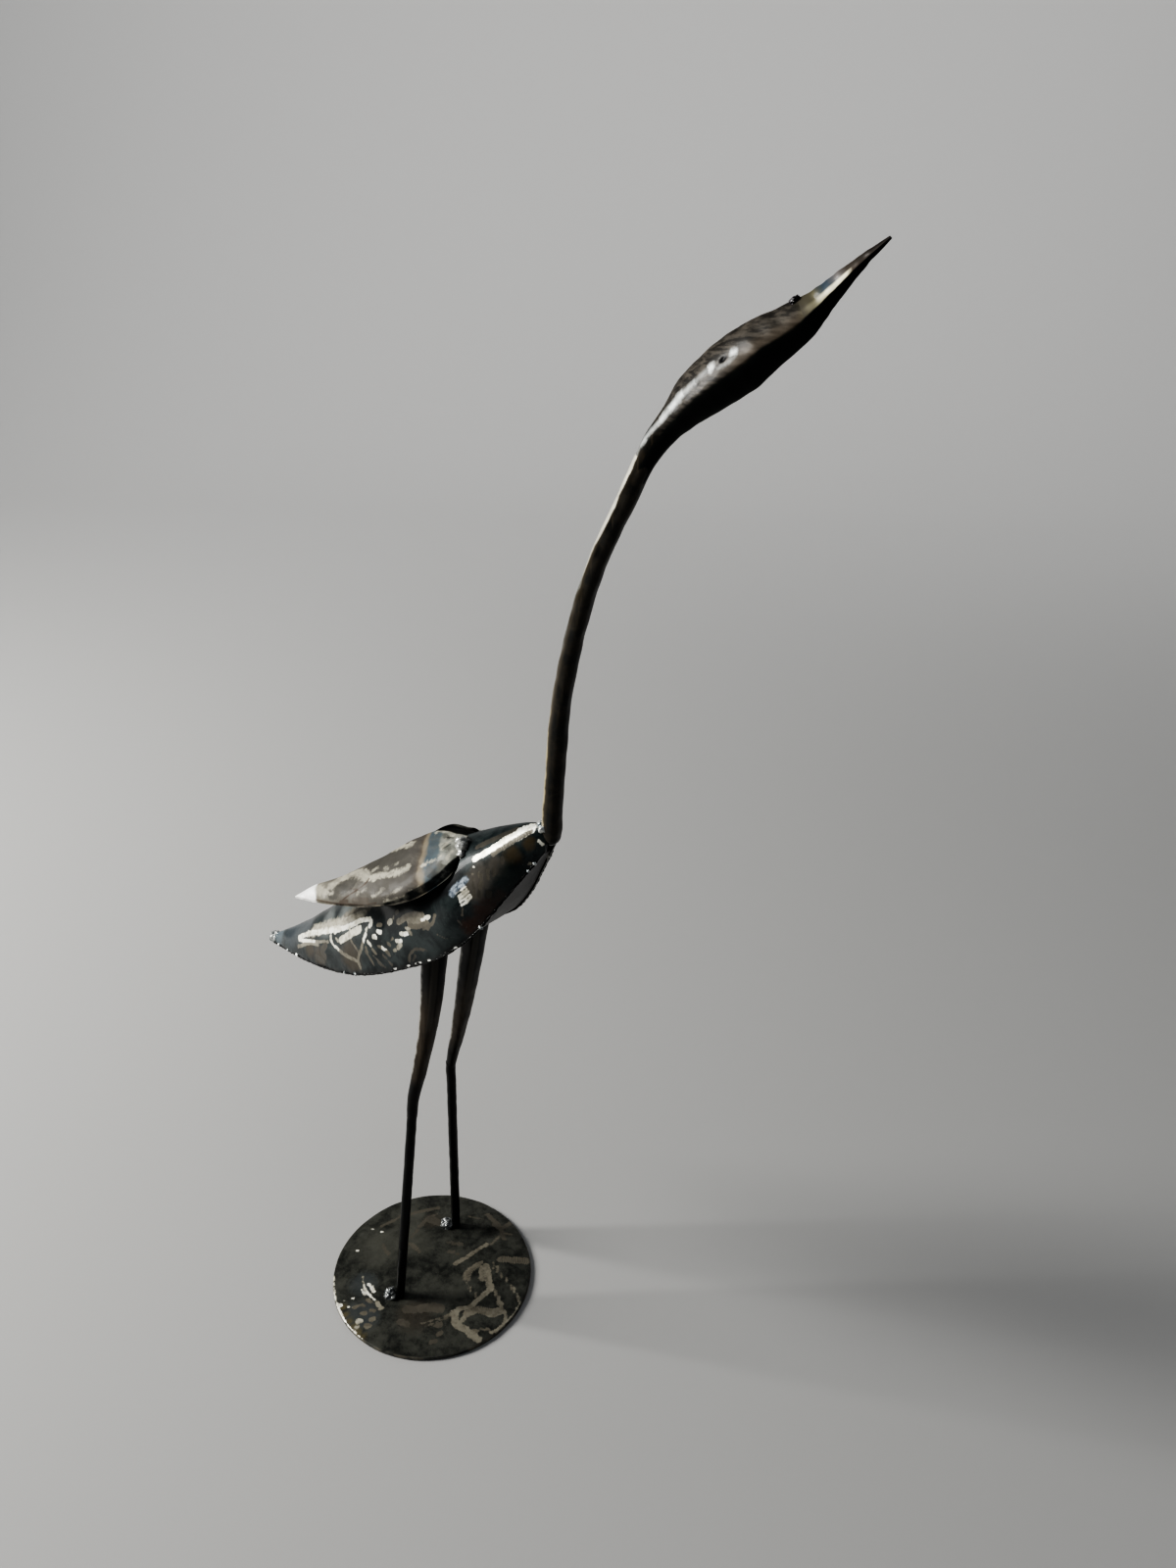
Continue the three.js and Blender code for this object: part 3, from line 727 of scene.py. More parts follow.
def makeShellSteel():
    startMaterial("lacqueredShell", 0.55, 0.05, 0.1, 11.0)
    undercoat(blendColour(blots(), (0.006, 0.010, 0.011), (0.026, 0.034, 0.034)))
    for places, over, strength in (
        # on both sides: pale behind the wing and brown below, rust and grey on the breast
        ([(-38, -14, 280, 18), (-58, -10, 262, 12)], (0.13, 0.145, 0.14), 0.6),
        ([(-60, -14, 241, 10), (-72, -11, 240, 8), (-28, -24, 259, 13)], (0.060, 0.046, 0.030), 0.65),
        ([(62, -14, 322, 11), (66, -10, 330, 8), (57, -20, 312, 8)], (0.060, 0.021, 0.010), 0.6),
        ([(58, -18, 339, 11), (56, -20, 333, 9), (66, -12, 346, 8)], (0.085, 0.076, 0.064), 0.75),
        # brown and dark green on the cone, blue grey at the tail
        ([(72, -7, 352, 7), (79, -3, 359, 5)], (0.075, 0.053, 0.026), 0.6),
        ([(74, -10, 342, 11)], (0.005, 0.013, 0.012), 0.7),
        ([(-114, 0, 226, 9)], (0.10, 0.13, 0.15), 0.6),
        ([(-98, 0, 236, 15), (-84, -4, 246, 12)], (0.046, 0.056, 0.064), 0.7),
    ):
        blot(places + [(x, 2 * midline - y, z, size) for x, y, z, size in places], over, strength)
    lay(specks(0.3), (0.09, 0.10, 0.095))
    # painted shadow on the flank under the wing's front end
    edge = readValue("edge")
    forward = apart(bench["where"])[0]
    along = times(spread(forward, -0.004, 0.022), spread(forward, 0.050, 0.042))
    lay(times(times(spread(edge, 34, 38), spread(edge, 58, 52)), along), (0.004, 0.005, 0.006))
    # painted blue-white sheen beside the wing's weld, over the heat's blue tint
    streak = spread(streaks((420, 420, 420), 5.0, 0.7), 0.35, 0.65)
    lay(times(*useMark("blue", 1.6, 1.6)), blendColour(streak, (0.050, 0.064, 0.082), (0.36, 0.41, 0.46)))
    masks = []
    for field, wander, soft, tooth, teeth, hatch in (
        ("haze", 3.4, 3.4, 1.3, 0.0, 0.0), ("teeth", 1.6, 0.9, 1.9, 0.6, 0.3),
        ("strokes", 1.1, 0.6, 1.4, 0.1, 0.06),
    ):
        mask, shine = useMark(field, wander, soft, tooth, teeth, hatch)
        lay(mask, colourRamp(shine, markColours))
        masks.append(mask)
    patch = calc("MAXIMUM", *masks[1:])
    # the lower edges are black, with a painted glint here and there
    lay(times(spread(edge, 5.0, 1.0), 0.85), (0.006, 0.007, 0.007))
    lay(times(spread(edge, 2.6, 1.4), spread(noise(150.0, 1.0), 0.66, 0.70)), (0.75, 0.75, 0.70))
    # the coat is thinner on the cone, so that the lamp's own highlight does not show beside the painted
    # highlight stripe
    thin = times(spread(forward, 0.030, 0.040), spread(edge, 36, 46))
    join(bench["shader"], {"Coat Weight": scaled(thin, -0.50, 0.55)})
    rough = blendValue(patch, unevenRough(0.22, 0.26), 0.42)
    return finishMaterial(blendValue(patch, 0.1, 0.3), rough, scaled(patch, -0.25, dinted(8.0, 0.18)), 0.3)


# belly plate between the shell's lower edges

belly = dict(start=-112, end=83, low=0.9, high=2.4, gap=0.25, hollow=0.5, rows=260, across=60, dint=0.22)


def makeBelly(material):
    x = np.linspace(belly["start"], belly["end"], belly["rows"])
    half, seam, back, sag = smooth(bodyRows, x).T
    climb = np.arctan(np.gradient(seam, x))[:, None]
    reach = (half - np.minimum(shell["lip"], half / 3) - belly["gap"])[:, None]
    # once across the lower face and back over the upper one, which a parabola lifts in the middle
    leftwards = np.linspace(-1, 1, belly["across"])
    across = np.concatenate([leftwards, np.linspace(1, -1, belly["across"])])
    depth = np.repeat([belly["low"], belly["high"]], belly["across"]) + belly["hollow"] * (1 - across ** 2)
    middle = (seam - sag * 0.5)[:, None] - across * 0.5 * sag[:, None]
    rings = np.stack([
        x[:, None] - depth * np.sin(climb), midline + reach * across, middle + depth * np.cos(climb)], -1)
    rings[..., 2] += belly["dint"] * ripple(rings, 34, 41) * ease(1 - np.abs(across), 0, 0.3)
    edge = (1 - np.abs(across)) * reach
    return makeSkin("bellyPlate", rings, ["belly_plate"], material, {"edge": edge}, 50)


def makeBellySteel():
    startMaterial("lacqueredBelly", 0.2, 0.3, 0.15, 22.0)
    undercoat(blendColour(blots(), (0.036, 0.035, 0.037), (0.052, 0.050, 0.052)))
    blot([(58, -6, 308, 16)], (0.085, 0.085, 0.085), 0.5)
    lay(times(spread(readValue("edge"), 1.1, 0.5), spread(noise(70.0), 0.3, 0.5)), (0.20, 0.19, 0.17))
    return finishMaterial(0.1, unevenRough(0.15, 0.42), streaks((90, 900, 300), 4.0, 0.55), 0.12)


# wings

wings = {
    "right": dict(front=(41, -3, 348.5), tip=(-62, -28, 288.3), droop=40, side=-1, seed=51, weld=(-1, 10.5)),
    "left": dict(front=(33.5, 11, 344.4), tip=(-64, 41, 277), droop=53, side=1, seed=61, weld=(3, 13)),
}
leaf = dict(
    thick=1.3, dome=4.0, width=38.0, length=122.0, rows=270, across=88, crowd=0.35,
    bow=0.42, dint=0.16, waver=0.25, roll=1.3, stands=1.8, pressed=3.6,
)
leafEdges = [
    (0, -1.8, 3.5), (8, -6, 16), (18, -11, 21.5), (35, -11.3, 25), (60, -6.8, 22.5), (88, -3.4, 14.5),
    (108, -3.4, 7), (122, -0.5, 0.8),
]
# all wing marks are places along the leaf and across it
creamStreaks = [
    (3.6, 0.80, (62, 7), (54, 7.2), (47, 9), (41, 9.5), (36, 8)), (1.3, 1.0, (26, 10.5), (20, 9.5), (14, 8)),
    (6.0, 0.68, (92, 2), (82, -1), (72, 1), (65, 5)), (4.0, 0.74, (50, -8.5), (43, -7.5), (36, -6)),
    (1.2, 0.7, (64, 3), (58, 2)), (1.0, 0.6, (47, 3.5), (43, 4)), (1.2, 0.62, (52, 4), (49, 5.5)),
    (1.4, 0.6, (60, 18), (52, 16)), (1.0, 0.55, (48, 20), (40, 18.5)), (1.0, 0.5, (73, 14), (66, 12.5)),
    (1.2, 0.66, (98, 4), (90, 8)), (5.0, 0.62, (103, 0), (97, 6)), (3.4, 0.72, (9, -4), (14, -9), (20, -10.5)),
    (1.2, 0.75, (10, 0), (14, 4)), (1.4, 0.7, (7, 6), (10, 11)), (1.2, 0.62, (13, -2), (15, 1)),
    (2.0, 0.6, (28, 22), (40, 24), (52, 23)),
]
greyPatches = [
    (8.0, 1.0, (90, 6.5), (83, 7), (76, 5.5)), (4.0, 1.0, (92, 9), (86, 10)), (4.5, 0.9, (79, 3), (74, 3)),
    (15.0, 0.8, (62, -2), (52, -1), (44, 0)), (10.0, 0.7, (60, 4), (64, 1)), (7.0, 0.6, (42, 2), (37, 5)),
    (8.0, 0.8, (19, 14), (15, 14)), (3.0, 0.7, (12, 2), (9, 5)), (3.6, 0.8, (14, -6), (11, -3)),
    (10.0, 0.35, (60, 14), (46, 14), (34, 12)),
]
rustLines = [
    (1.0, 1.0, (63, 7), (66, 9.5), (70.5, 11), (78, 12.5), (83, 14), (87, 17)),
    (0.9, 0.8, (104, 7.2), (90, 12.9), (76, 17.4), (66, 20.2), (58, 21.6)), (3.2, 0.35, (74, 15.8), (64, 18.6)),
    (2.2, 0.6, (84, 14.2), (79, 15)), (1.0, 0.8, (74, 10), (72, 10.4)), (0.9, 0.9, (76, 9), (75.4, 9.2)),
]
leafMarks = dict(cream=creamStreaks, grey=greyPatches, rust=rustLines)
# painted shade: the outer edge is rolled down and faces away from the light, so it is painted black, and so is
# the shaded front of the left wing's inner edge; the right wing also has a few small dark marks near its front
edgeShade = [
    (4.6, 1.0, (1, 7.5), (4, 11), (8, 14.2), (14, 18.2), (24, 22.0), (36, 24.0)),
    (2.6, 1.0, (36, 24.2), (44, 24.4), (52, 24.0)), (0.9, 0.9, (52, 24.0), (60, 22.8), (72, 19.4), (88, 14.5)),
]
blackenedMarks = {
    "right": edgeShade + [
        (1.6, 0.8, (7, -5.6), (13, -9), (20, -11)), (1.2, 0.9, (9, 2), (13, 4)),
        (1.0, 0.8, (8, -2), (12, -3.5)),
    ],
    "left": edgeShade + [
        (12.0, 1.0, (-2, 0), (8, -5), (22, -9), (38, -12)), (8.0, 0.95, (36, -9), (52, -10), (64, -9)),
        (12.0, 0.8, (4, 4), (12, 0), (20, -2)),
    ],
}


def wingFrame(wing):
    # the leaf's axis from its weld to its tip, the way across it and the way out of its upper face
    front, tip = np.array(wing["front"], float), np.array(wing["tip"], float)
    axis = unit(tip - front)
    level = np.array([0.0, wing["side"], 0.0])
    level = unit(level - axis * (level @ axis))
    upright = np.cross(axis, level) * -wing["side"]
    fall = math.radians(wing["droop"])
    chord = math.cos(fall) * level - math.sin(fall) * upright
    normal = math.sin(fall) * level + math.cos(fall) * upright
    return front, axis, chord, normal, np.linalg.norm(tip - front)


def leafPoint(wing, along, across, lift=1.0):
    # a low dome across the leaf: its height falls to nothing at both edges by a parabola
    front, axis, chord, normal, length = wingFrame(wing)
    inner, outer = np.moveaxis(smooth(leafEdges, along * leaf["length"] / length), -1, 0)
    share = (across - inner) / (outer - inner)
    dome = leaf["dome"] * (1 - (2 * share - 1) ** 2) * (outer - inner) / leaf["width"] + lift
    return front + along[..., None] * axis + across[..., None] * chord + dome[..., None] * normal


def makeWing(side, material):
    wing = wings[side]
    front, axis, chord, normal, length = wingFrame(wing)
    along = np.linspace(0, length, leaf["rows"])
    inner, outer = smooth(leafEdges, along * leaf["length"] / length).T[..., None]
    # once across the upper face and back over the lower one, with points crowding to both edges
    even = np.linspace(-1, 1, leaf["across"])
    over = np.sin(even * math.pi / 2) * leaf["crowd"] + even * (1 - leaf["crowd"])
    share = np.concatenate([(over + 1) / 2, (over[::-1] + 1) / 2])
    upper = np.arange(2 * leaf["across"]) < leaf["across"]
    across = inner + (outer - inner) * share
    lengthwise = np.broadcast_to(along[:, None], across.shape)
    # the two faces close in towards the edge, so the sheet's edge is rounded over
    toEdge = np.minimum(share, 1 - share) * (outer - inner)
    tuck = 0.5 * (1 - ease(toEdge, 0, 0.9))
    lift = leaf["thick"] * np.where(upper, 1 - tuck, tuck)
    rings = leafPoint(wing, lengthwise, across, lift)
    bow = leaf["bow"] * ripple(rings, 30, wing["seed"]) + leaf["dint"] * ripple(rings, 10, wing["seed"] + 1)
    bow -= leaf["waver"] * (1 - ease(toEdge, 0, 3.0)) * (0.5 + 0.5 * ripple(rings, 16, wing["seed"] + 2))
    bow -= leaf["roll"] * (1 - ease((outer - across), 0, 4.5)) * (1 - ease(lengthwise, 45, 75))
    if side == "left":
        # its inner edge stands up by the weld and is pressed down behind it
        inward = 1 - ease(across - inner, 0, 9)
        stands = leaf["stands"] * np.exp(-((lengthwise - 9) / 6) ** 2)
        bow += inward * (stands - leaf["pressed"] * ease(lengthwise, 14, 27))
    rings += normal * (bow * ease(along, 2, 14)[:, None])[..., None]
    points = rings.reshape(-1, 3)
    place = functools.partial(leafPoint, wing)
    fields = {"blackened": markField(points, place, blackenedMarks[side])}
    # the left wing has the right one's marks, moved towards its front
    shift = 0.0 if side == "right" else 3.0
    for name, marks in leafMarks.items():
        moved = [(*mark[:2], *((max(down - shift, 0.5), over) for down, over in mark[2:])) for mark in marks]
        fields[name] = markField(points, place, moved)
    fields["leaf"] = np.stack([lengthwise * leaf["length"] / length, across, toEdge], -1)
    return makeSkin(side + "Wing", rings, [side + "_wing"], material, fields, 45)


def makeWingSteel():
    startMaterial("heatTintedWing", 0.03, 0.15, 0.09, 10.0)
    place = apart(readField("leaf"))
    along = jitter(place[0], 60.0, 9.0)
    # the heat of the weld ran down the leaf: pale, blue, straw, brown, then plain warm grey
    undercoat(colourRamp(calc("DIVIDE", along, 125.0), [
        (0.0, (0.15, 0.15, 0.13)), (0.11, (0.15, 0.16, 0.14)), (0.135, (0.065, 0.088, 0.100)),
        (0.188, (0.058, 0.080, 0.094)), (0.202, (0.17, 0.145, 0.105)), (0.214, (0.16, 0.135, 0.097)),
        (0.226, (0.066, 0.054, 0.042)), (0.245, (0.056, 0.051, 0.045)), (0.30, (0.072, 0.067, 0.059)),
        (0.50, (0.085, 0.079, 0.069)), (0.72, (0.106, 0.099, 0.084)), (0.825, (0.20, 0.19, 0.155)),
        (0.84, (0.88, 0.88, 0.86)), (1.0, (0.95, 0.95, 0.94)),
    ]))
    streak = streaks((60, 260, 260), 5.0, 0.65, (0, 28, 12))
    lay(spread(streak, 0.40, 0.70, 0.0, 0.22), (0.20, 0.185, 0.15))
    lay(blots(0.3), (0.055, 0.050, 0.043))
    tint = times(spread(along, 17, 14), spread(streak, 0.35, 0.6))
    lay(times(tint, 0.5), (0.30, 0.30, 0.265))
    for field, over, wander, soft, share in (
        ("grey", (0.047, 0.045, 0.039), 3.6, 1.8, 0.95), ("cream", (0.41, 0.39, 0.315), 3.8, 2.0, 1.0),
        ("rust", (0.042, 0.023, 0.013), 0.3, 0.7, 0.85),
    ):
        mask = times(times(*useMark(field, wander, soft)), share)
        if field != "rust":
            mask = times(mask, spread(streak, 0.32, 0.58, 0.5, 1.0))
        lay(mask, over)
    paleEdge = times(spread(place[2], 0.8, 0.2), spread(noise(120.0), 0.45, 0.62))
    lay(times(paleEdge, 0.5), (0.30, 0.27, 0.21))
    # painted shade along the rolled outer edge and the left wing's inner edge, with a few dark marks
    lay(times(*useMark("blackened", 0.35, 0.9)), (0.004, 0.005, 0.005))
    height = scaled(streaks((120, 1500, 1500), 3.0, 0.55, (0, 30, 14)), 0.3, dinted(12.0))
    return finishMaterial(0.1, unevenRough(0.15, 0.48), height, 0.12)


# neck, head and beak

neckRows = [
    (0.0, 86.2, 358.6, 2.4), (0.12, 86.6, 360.4, 3.9), (0.4, 87.0, 365, 4.9), (1.0, 87.2, 374, 5.0),
    (2.6, 88.6, 402, 4.9), (4.4, 91, 433, 4.7), (6.8, 98.7, 473, 4.5), (9.2, 111, 511, 4.3),
    (10.6, 121.5, 533.5, 4.4), (11.8, 129.4, 551.2, 4.6),
]
neck = dict(rows=420, columns=56, flat=0.06, dint=0.20, litSide=(218, 209))
headStart = (131.0, 550.0)
headRise = math.atan2(85, 87)
headRows = [
    (-14, -4.2, 3.0, 3.0), (-7, -1.4, 3.7, 3.8), (-2, 1.0, 4.5, 4.5), (3, 2.7, 5.05, 5.05), (18, 5.1, 6.4, 6),
    (30, 6, 9.1, 7.6), (42, 5.2, 10.5, 8.6), (53, 4.1, 11.3, 8.8), (65, 2.8, 10.2, 8), (75, 1.2, 8.5, 6.6),
    (84.4, 0, 6.8, 5.2), (88, -0.1, 5.5, 4.15),
]
beakRows = [
    (78, 0.7, 7.5, 5.8), (84.4, 0, 6.75, 5.15), (90, -0.1, 5.3, 4), (98, 0.2, 4, 3.1), (108, 0.5, 2.5, 2),
    (121.6, 0, 0.6, 0.6),
]
head = dict(rows=260, columns=200, firm=6.0, dint=0.22)
beak = dict(rows=120, columns=96, dint=0.16)
crease = dict(power=1.42, drop=0.2)
eye = dict(along=52.4, lift=3.4, long=2.1, tall=1.1, depth=0.45, share=0.55)
# painted highlights on the head: a band along the ridge from the neck to the eye and a glint at each end of the
# eye, given along it and up from its axis
headHighlights = [
    (1.1, 0.4, (-9, 0.8), (-3, 4.2), (3, 6.0)), (1.3, 0.65, (3, 6.0), (10, 7.0), (17, 7.6)),
    (2.0, 0.8, (17, 7.6), (23, 8.2)), (2.4, 0.95, (23, 8.2), (31, 8.8)), (1.9, 0.6, (31, 8.8), (38, 8.8)),
    (1.7, 0.3, (38, 8.8), (46, 8.6)), (2.5, 0.9, (46.1, 8.5), (47.1, 8.5)), (1.9, 0.95, (57, 6.9), (57.8, 6.7)),
    (0.7, 0.3, (49, 6.2), (53, 5.4), (57, 5.2)),
]


def headPoint(along, up, out):
    # the head's axis climbs at headRise from the top of the neck
    x = headStart[0] + along * math.cos(headRise) - up * math.sin(headRise)
    z = headStart[1] + along * math.sin(headRise) + up * math.cos(headRise)
    return np.stack(np.broadcast_arrays(x, midline + out, z), -1)


def beatenForm(rows, steps, columns, firm=0.0):
    # a closed form whose section has a crease on each side, a little below the middle: the sine
    # and cosine of the turn are raised to a power over one; the section is round up to firm
    along = np.linspace(rows[0][0], rows[-1][0], steps)
    centre, high, wide = smooth(rows, along).T[..., None]
    turn = turns(columns)
    sharp = ease(along, firm, firm + 26)[:, None] if firm else np.ones((steps, 1))
    power = 1 + (crease["power"] - 1) * sharp
    up = np.sign(np.sin(turn)) * np.abs(np.sin(turn)) ** power
    up -= crease["drop"] * sharp * (1 - up ** 2)
    out = np.sign(np.cos(turn)) * np.abs(np.cos(turn)) ** power
    along = np.repeat(along[:, None], columns, 1)
    return along, up, headPoint(along, centre + high * up, wide * out)


def makeNeck(material):
    path = smooth(neckRows, np.linspace(neckRows[0][0], neckRows[-1][0], neck["rows"]))
    centres = np.stack([path[:, 0], np.full(len(path), midline), path[:, 1]], -1)
    rings = tube(centres, path[:, 2], neck["columns"], np.array([0.0, 1.0, 0.0]))
    turn = turns(neck["columns"])
    square = 1 - neck["flat"] * (0.4 + np.cos(4 * turn)) / 1.4
    rings = centres[:, None] + (rings - centres[:, None]) * square[:, None]
    rings = pushed(rings, neck["dint"] * (ripple(rings * (1, 1, 0.7), 12, 71) - 0.4))
    # how squarely each place looks to the lit side, which takes the painted highlight; it is measured from the
    # beak's side
    litSide = np.radians(np.linspace(*neck["litSide"], neck["rows"]))[:, None]
    return makeSkin("neckTube", rings, ["neck"], material, {"lit": np.cos(turn - litSide)})


def flat(along, lift):
    # the head's marks are laid out seen from the side
    return np.stack([along, lift, np.zeros_like(along)], -1)


def makeHead(material):
    along, up, rings = beatenForm(headRows, head["rows"], head["columns"], head["firm"])
    # an eye punched into each side: a small oval pit
    centre = smooth(headRows, [eye["along"]])[0, 0]
    rise = np.array([-math.sin(headRise), 0.0, math.cos(headRise)])
    upward = (rings - headPoint(eye["along"], centre + eye["lift"], 0.0)) @ rise
    toEye = np.hypot((along - eye["along"]) / eye["long"], upward / eye["tall"])
    push = -eye["depth"] * np.exp(-(toEye / eye["share"]) ** 2)
    push += head["dint"] * ripple(rings, 13, 81) * ease(along, 2, 20) * ease(-along, -84, -72)
    lift = (rings - headPoint(0.0, 0.0, 0.0)) @ rise
    bright = markField(flat(along.ravel(), lift.ravel()), flat, headHighlights)
    rings = rings + outward(rings) * push[..., None]
    fields = {"eye": toEye, "skull": along, "facet": up, "bright": bright}
    return makeSkin("headForm", rings, ["head"], material, fields, 60)


def makeBeak(material):
    along, up, rings = beatenForm(beakRows, beak["rows"], beak["columns"])
    push = beak["dint"] * (ripple(rings, 7, 91) - 0.5) * ease(-along, -120, -112) * ease(along, 84, 92)
    rings = rings + outward(rings) * push[..., None]
    return makeSkin("beakForm", rings, ["beak"], material, {"skull": along, "facet": up}, 60)


def neckColour():
    # near black, with a little brown where the lacquer is thin
    colour = blendColour(blots(), (0.008, 0.008, 0.007), (0.026, 0.021, 0.014))
    grain = streaks((420, 420, 60), 5.0, 0.6, (0, 12, 0))
    return blendColour(spread(grain, 0.52, 0.72, 0.0, 0.5), colour, (0.060, 0.047, 0.030))


def makeNeckSteel():
    startMaterial("lacqueredNeck", 0.45, 0.08, 0.1, 10.0)
    undercoat(neckColour())
    # a painted highlight down the lit side of the neck: brassy at its foot, dull along its middle, pale near the
    # head
    litSide = scaled(noise(120.0), 0.3, readValue("lit"))
    lay(spread(litSide, 0.70, 1.05), (0.042, 0.034, 0.022))
    high = scaled(noise(90.0, 3.0), 0.03, apart(bench["where"])[2])
    litSide = calc("ADD", litSide, spread(high, 0.520, 0.540, 0.0, 0.12))
    patch = colourRamp(spread(high, 0.375, 0.575), [
        (0.0, (0.36, 0.31, 0.19)), (0.22, (0.33, 0.28, 0.17)), (0.32, (0.10, 0.085, 0.060)),
        (0.62, (0.080, 0.080, 0.072)), (0.74, (0.13, 0.13, 0.115)), (0.82, (0.48, 0.46, 0.39)),
        (1.0, (0.52, 0.50, 0.43)),
    ])
    lay(spread(litSide, 1.02, 1.14), patch)
    return finishMaterial(0.2, unevenRough(0.2, 0.26), dinted(7.0, 0.25), 0.3)


def makeHeadSteel():
    startMaterial("lacqueredHead", 0.05, 0.15, 0.06, 9.0)
    streak = streaks((60, 520, 520), 5.0, 0.6, (0, math.degrees(headRise), 0))
    undercoat(blendColour(spread(streak, 0.38, 0.64), (0.019, 0.017, 0.0145), (0.082, 0.073, 0.061)))
    lay(blots(0.35), (0.018, 0.017, 0.016))
    skull, facet = readValue("skull"), readValue("facet")
    brown = times(spread(facet, 0.45, 0.0), spread(skull, 44, 60))
    lay(times(brown, 0.55), (0.065, 0.050, 0.034))
    brass = blendColour(spread(facet, 0.15, 0.45), (0.24, 0.225, 0.15), (0.085, 0.078, 0.048))
    lay(spread(skull, 82, 92), brass)
    lay(spread(skull, 26, 8), neckColour())
    # below the crease the head faces down, and its shade is painted near black
    lay(spread(jitter(facet, 160.0, 0.22, 3.0), -0.14, -0.30), (0.009, 0.011, 0.010))
    # painted shade in the eye's pit
    lay(spread(readValue("eye"), 1.3, 0.5), (0.005, 0.005, 0.006))
    # painted highlight along the ridge and glints at the ends of the eye
    lay(times(*useMark("bright", 1.1, 2.4)), (0.72, 0.745, 0.73))
    return finishMaterial(0.05, unevenRough(0.2, 0.3), dinted(7.0), 0.12)


def makeBeakSteel():
    startMaterial("brassyBeak", 0.5, 0.15, 0.06)
    facet = readValue("facet")
    skull = jitter(readValue("skull"), 150.0, 6.0)
    reach = spread(skull, 82, 123)
    # the face just above the crease: dark at the root, straw, then a painted cream highlight along the ridge,
    # and dark at the tip
    undercoat(colourRamp(reach, [
        (0.0, (0.060, 0.053, 0.043)), (0.12, (0.24, 0.225, 0.15)), (0.20, (0.42, 0.395, 0.275)),
        (0.38, (0.76, 0.72, 0.55)), (0.58, (0.66, 0.61, 0.44)), (0.66, (0.060, 0.048, 0.038)),
        (1.0, (0.018, 0.015, 0.013)),
    ]))
    # towards the top the straw tint of the heat turns to blue and then to mauve grey
    upper = colourRamp(reach, [
        (0.0, (0.050, 0.044, 0.036)), (0.12, (0.095, 0.088, 0.055)), (0.25, (0.040, 0.055, 0.070)),
        (0.33, (0.045, 0.060, 0.076)), (0.45, (0.13, 0.12, 0.115)), (0.58, (0.050, 0.042, 0.034)),
        (1.0, (0.018, 0.015, 0.013)),
    ])
    lay(spread(facet, 0.15, 0.42), upper)
    # painted shade: below the crease the beak is near black
    lay(spread(jitter(facet, 200.0, 0.2, 3.0), -0.10, -0.26), (0.006, 0.006, 0.007))
    join(bench["shader"], {"Coat Weight": spread(skull, 101, 109, 0.06, 0.03)})
    return finishMaterial(0.05, 0.4, dinted(5.0), 0.12)


# weld beads

def makeWeld(name, centre, size, nodes, material, seed, lump=0.2, way=(0, 0, 1), steps=60):
    # a ball drawn out to its three sizes and lumped by two ripples, like metal that has run and set
    turn = turns(steps)
    rise = np.linspace(0.03, math.pi - 0.03, steps)[:, None]
    ball = np.stack(np.broadcast_arrays(
        np.sin(rise) * np.cos(turn), np.sin(rise) * np.sin(turn), np.cos(rise)), -1)
    rough = 1 + lump * (ripple(ball * 10, 9, seed) + 0.55 * ripple(ball * 10, 4.2, seed + 1, 14))
    up = unit(np.array(way, float))
    side = unit(np.cross(up, (0.31, 0.92, 0.2)))
    ball = ball * rough[..., None] * np.array(size)
    rings = np.array(centre) + ball @ np.stack([side, np.cross(up, side), up])
    return makeSkin(name, rings, nodes, material, None, 60)


def makeRun(name, path, radius, pitch, nodes, material, seed, lump):
    # a run of weld: a thin tube whose thickness swells with every drop
    steps = np.concatenate([[0], np.cumsum(np.linalg.norm(np.diff(path, axis=0), axis=1))])
    fine = np.linspace(0, steps[-1], max(40, int(steps[-1] / 0.4)))
    centres = np.stack([np.interp(fine, steps, path[:, i]) for i in range(3)], -1)
    swell = 1 + lump * np.abs(np.sin(math.pi * fine / pitch + ripple(centres, 15, seed)))
    swell *= 1 + lump * ripple(centres, 5, seed + 1)
    ends = ease(fine, 0, 2) * ease(steps[-1] - fine, 0, 2)
    rings = tube(centres, radius * swell * (0.15 + 0.85 * ends), 14, np.array([0.13, 0.2, 0.97]))
    rings = pushed(rings, 0.25 * radius * ripple(rings, 2.4, seed + 2))
    return makeSkin(name, rings, nodes, material, None, 70)


def makeWeldSteel(name, dark, share):
    startMaterial(name, 1.0, 0.05, 0.5, 4.0)
    undercoat(blendColour(blots(share), dark, (0.82, 0.83, 0.79)))
    lay(specks(0.6), (0.85, 0.84, 0.78))
    return finishMaterial(0.4, 0.3, dinted(2.6), 0.4, 0.0004)


def makeRodSteel(name, dark, light, metal, coat):
    startMaterial(name, coat, 0.12, 0.08, 14.0)
    undercoat(blendColour(spread(streaks((500, 500, 30)), 0.4, 0.7), dark, light))
    lay(blots(0.6), dark)
    return finishMaterial(metal, unevenRough(0.2, 0.32), dinted(8.0), 0.25)


def makeThighSteel():
    # black at the top and at the knee, bronze brown between, with a painted highlight down the lit side and a
    # faint painted sheen on the front quarter
    startMaterial("lacqueredThigh", 0.3, 0.12, 0.08, 12.0)
    side, quarter, high = apart(readField("facing"))
    grain = spread(streaks((420, 420, 26)), 0.34, 0.72)
    brown = blendColour(grain, (0.028, 0.021, 0.014), (0.060, 0.046, 0.031))
    uneven = jitter(high, 60.0, 22.0)
    patch = times(spread(uneven, 88, 62), spread(uneven, 10, 28))
    undercoat(blendColour(patch, (0.0055, 0.0058, 0.0055), brown))
    lay(blots(0.5), (0.010, 0.009, 0.007))
    ragged = scaled(noise(150.0, 3.0), 0.5, side)
    litEdge = times(spread(ragged, 1.04, 1.24), spread(uneven, 12, 30))
    lay(times(litEdge, 0.85), (0.29, 0.285, 0.26))
    sheenBand = times(spread(quarter, 0.93, 0.985), spread(uneven, 45, 65))
    lay(times(sheenBand, 0.55), (0.085, 0.078, 0.066))
    return finishMaterial(0.15, unevenRough(0.2, 0.32), dinted(8.0), 0.25)


# everything put together

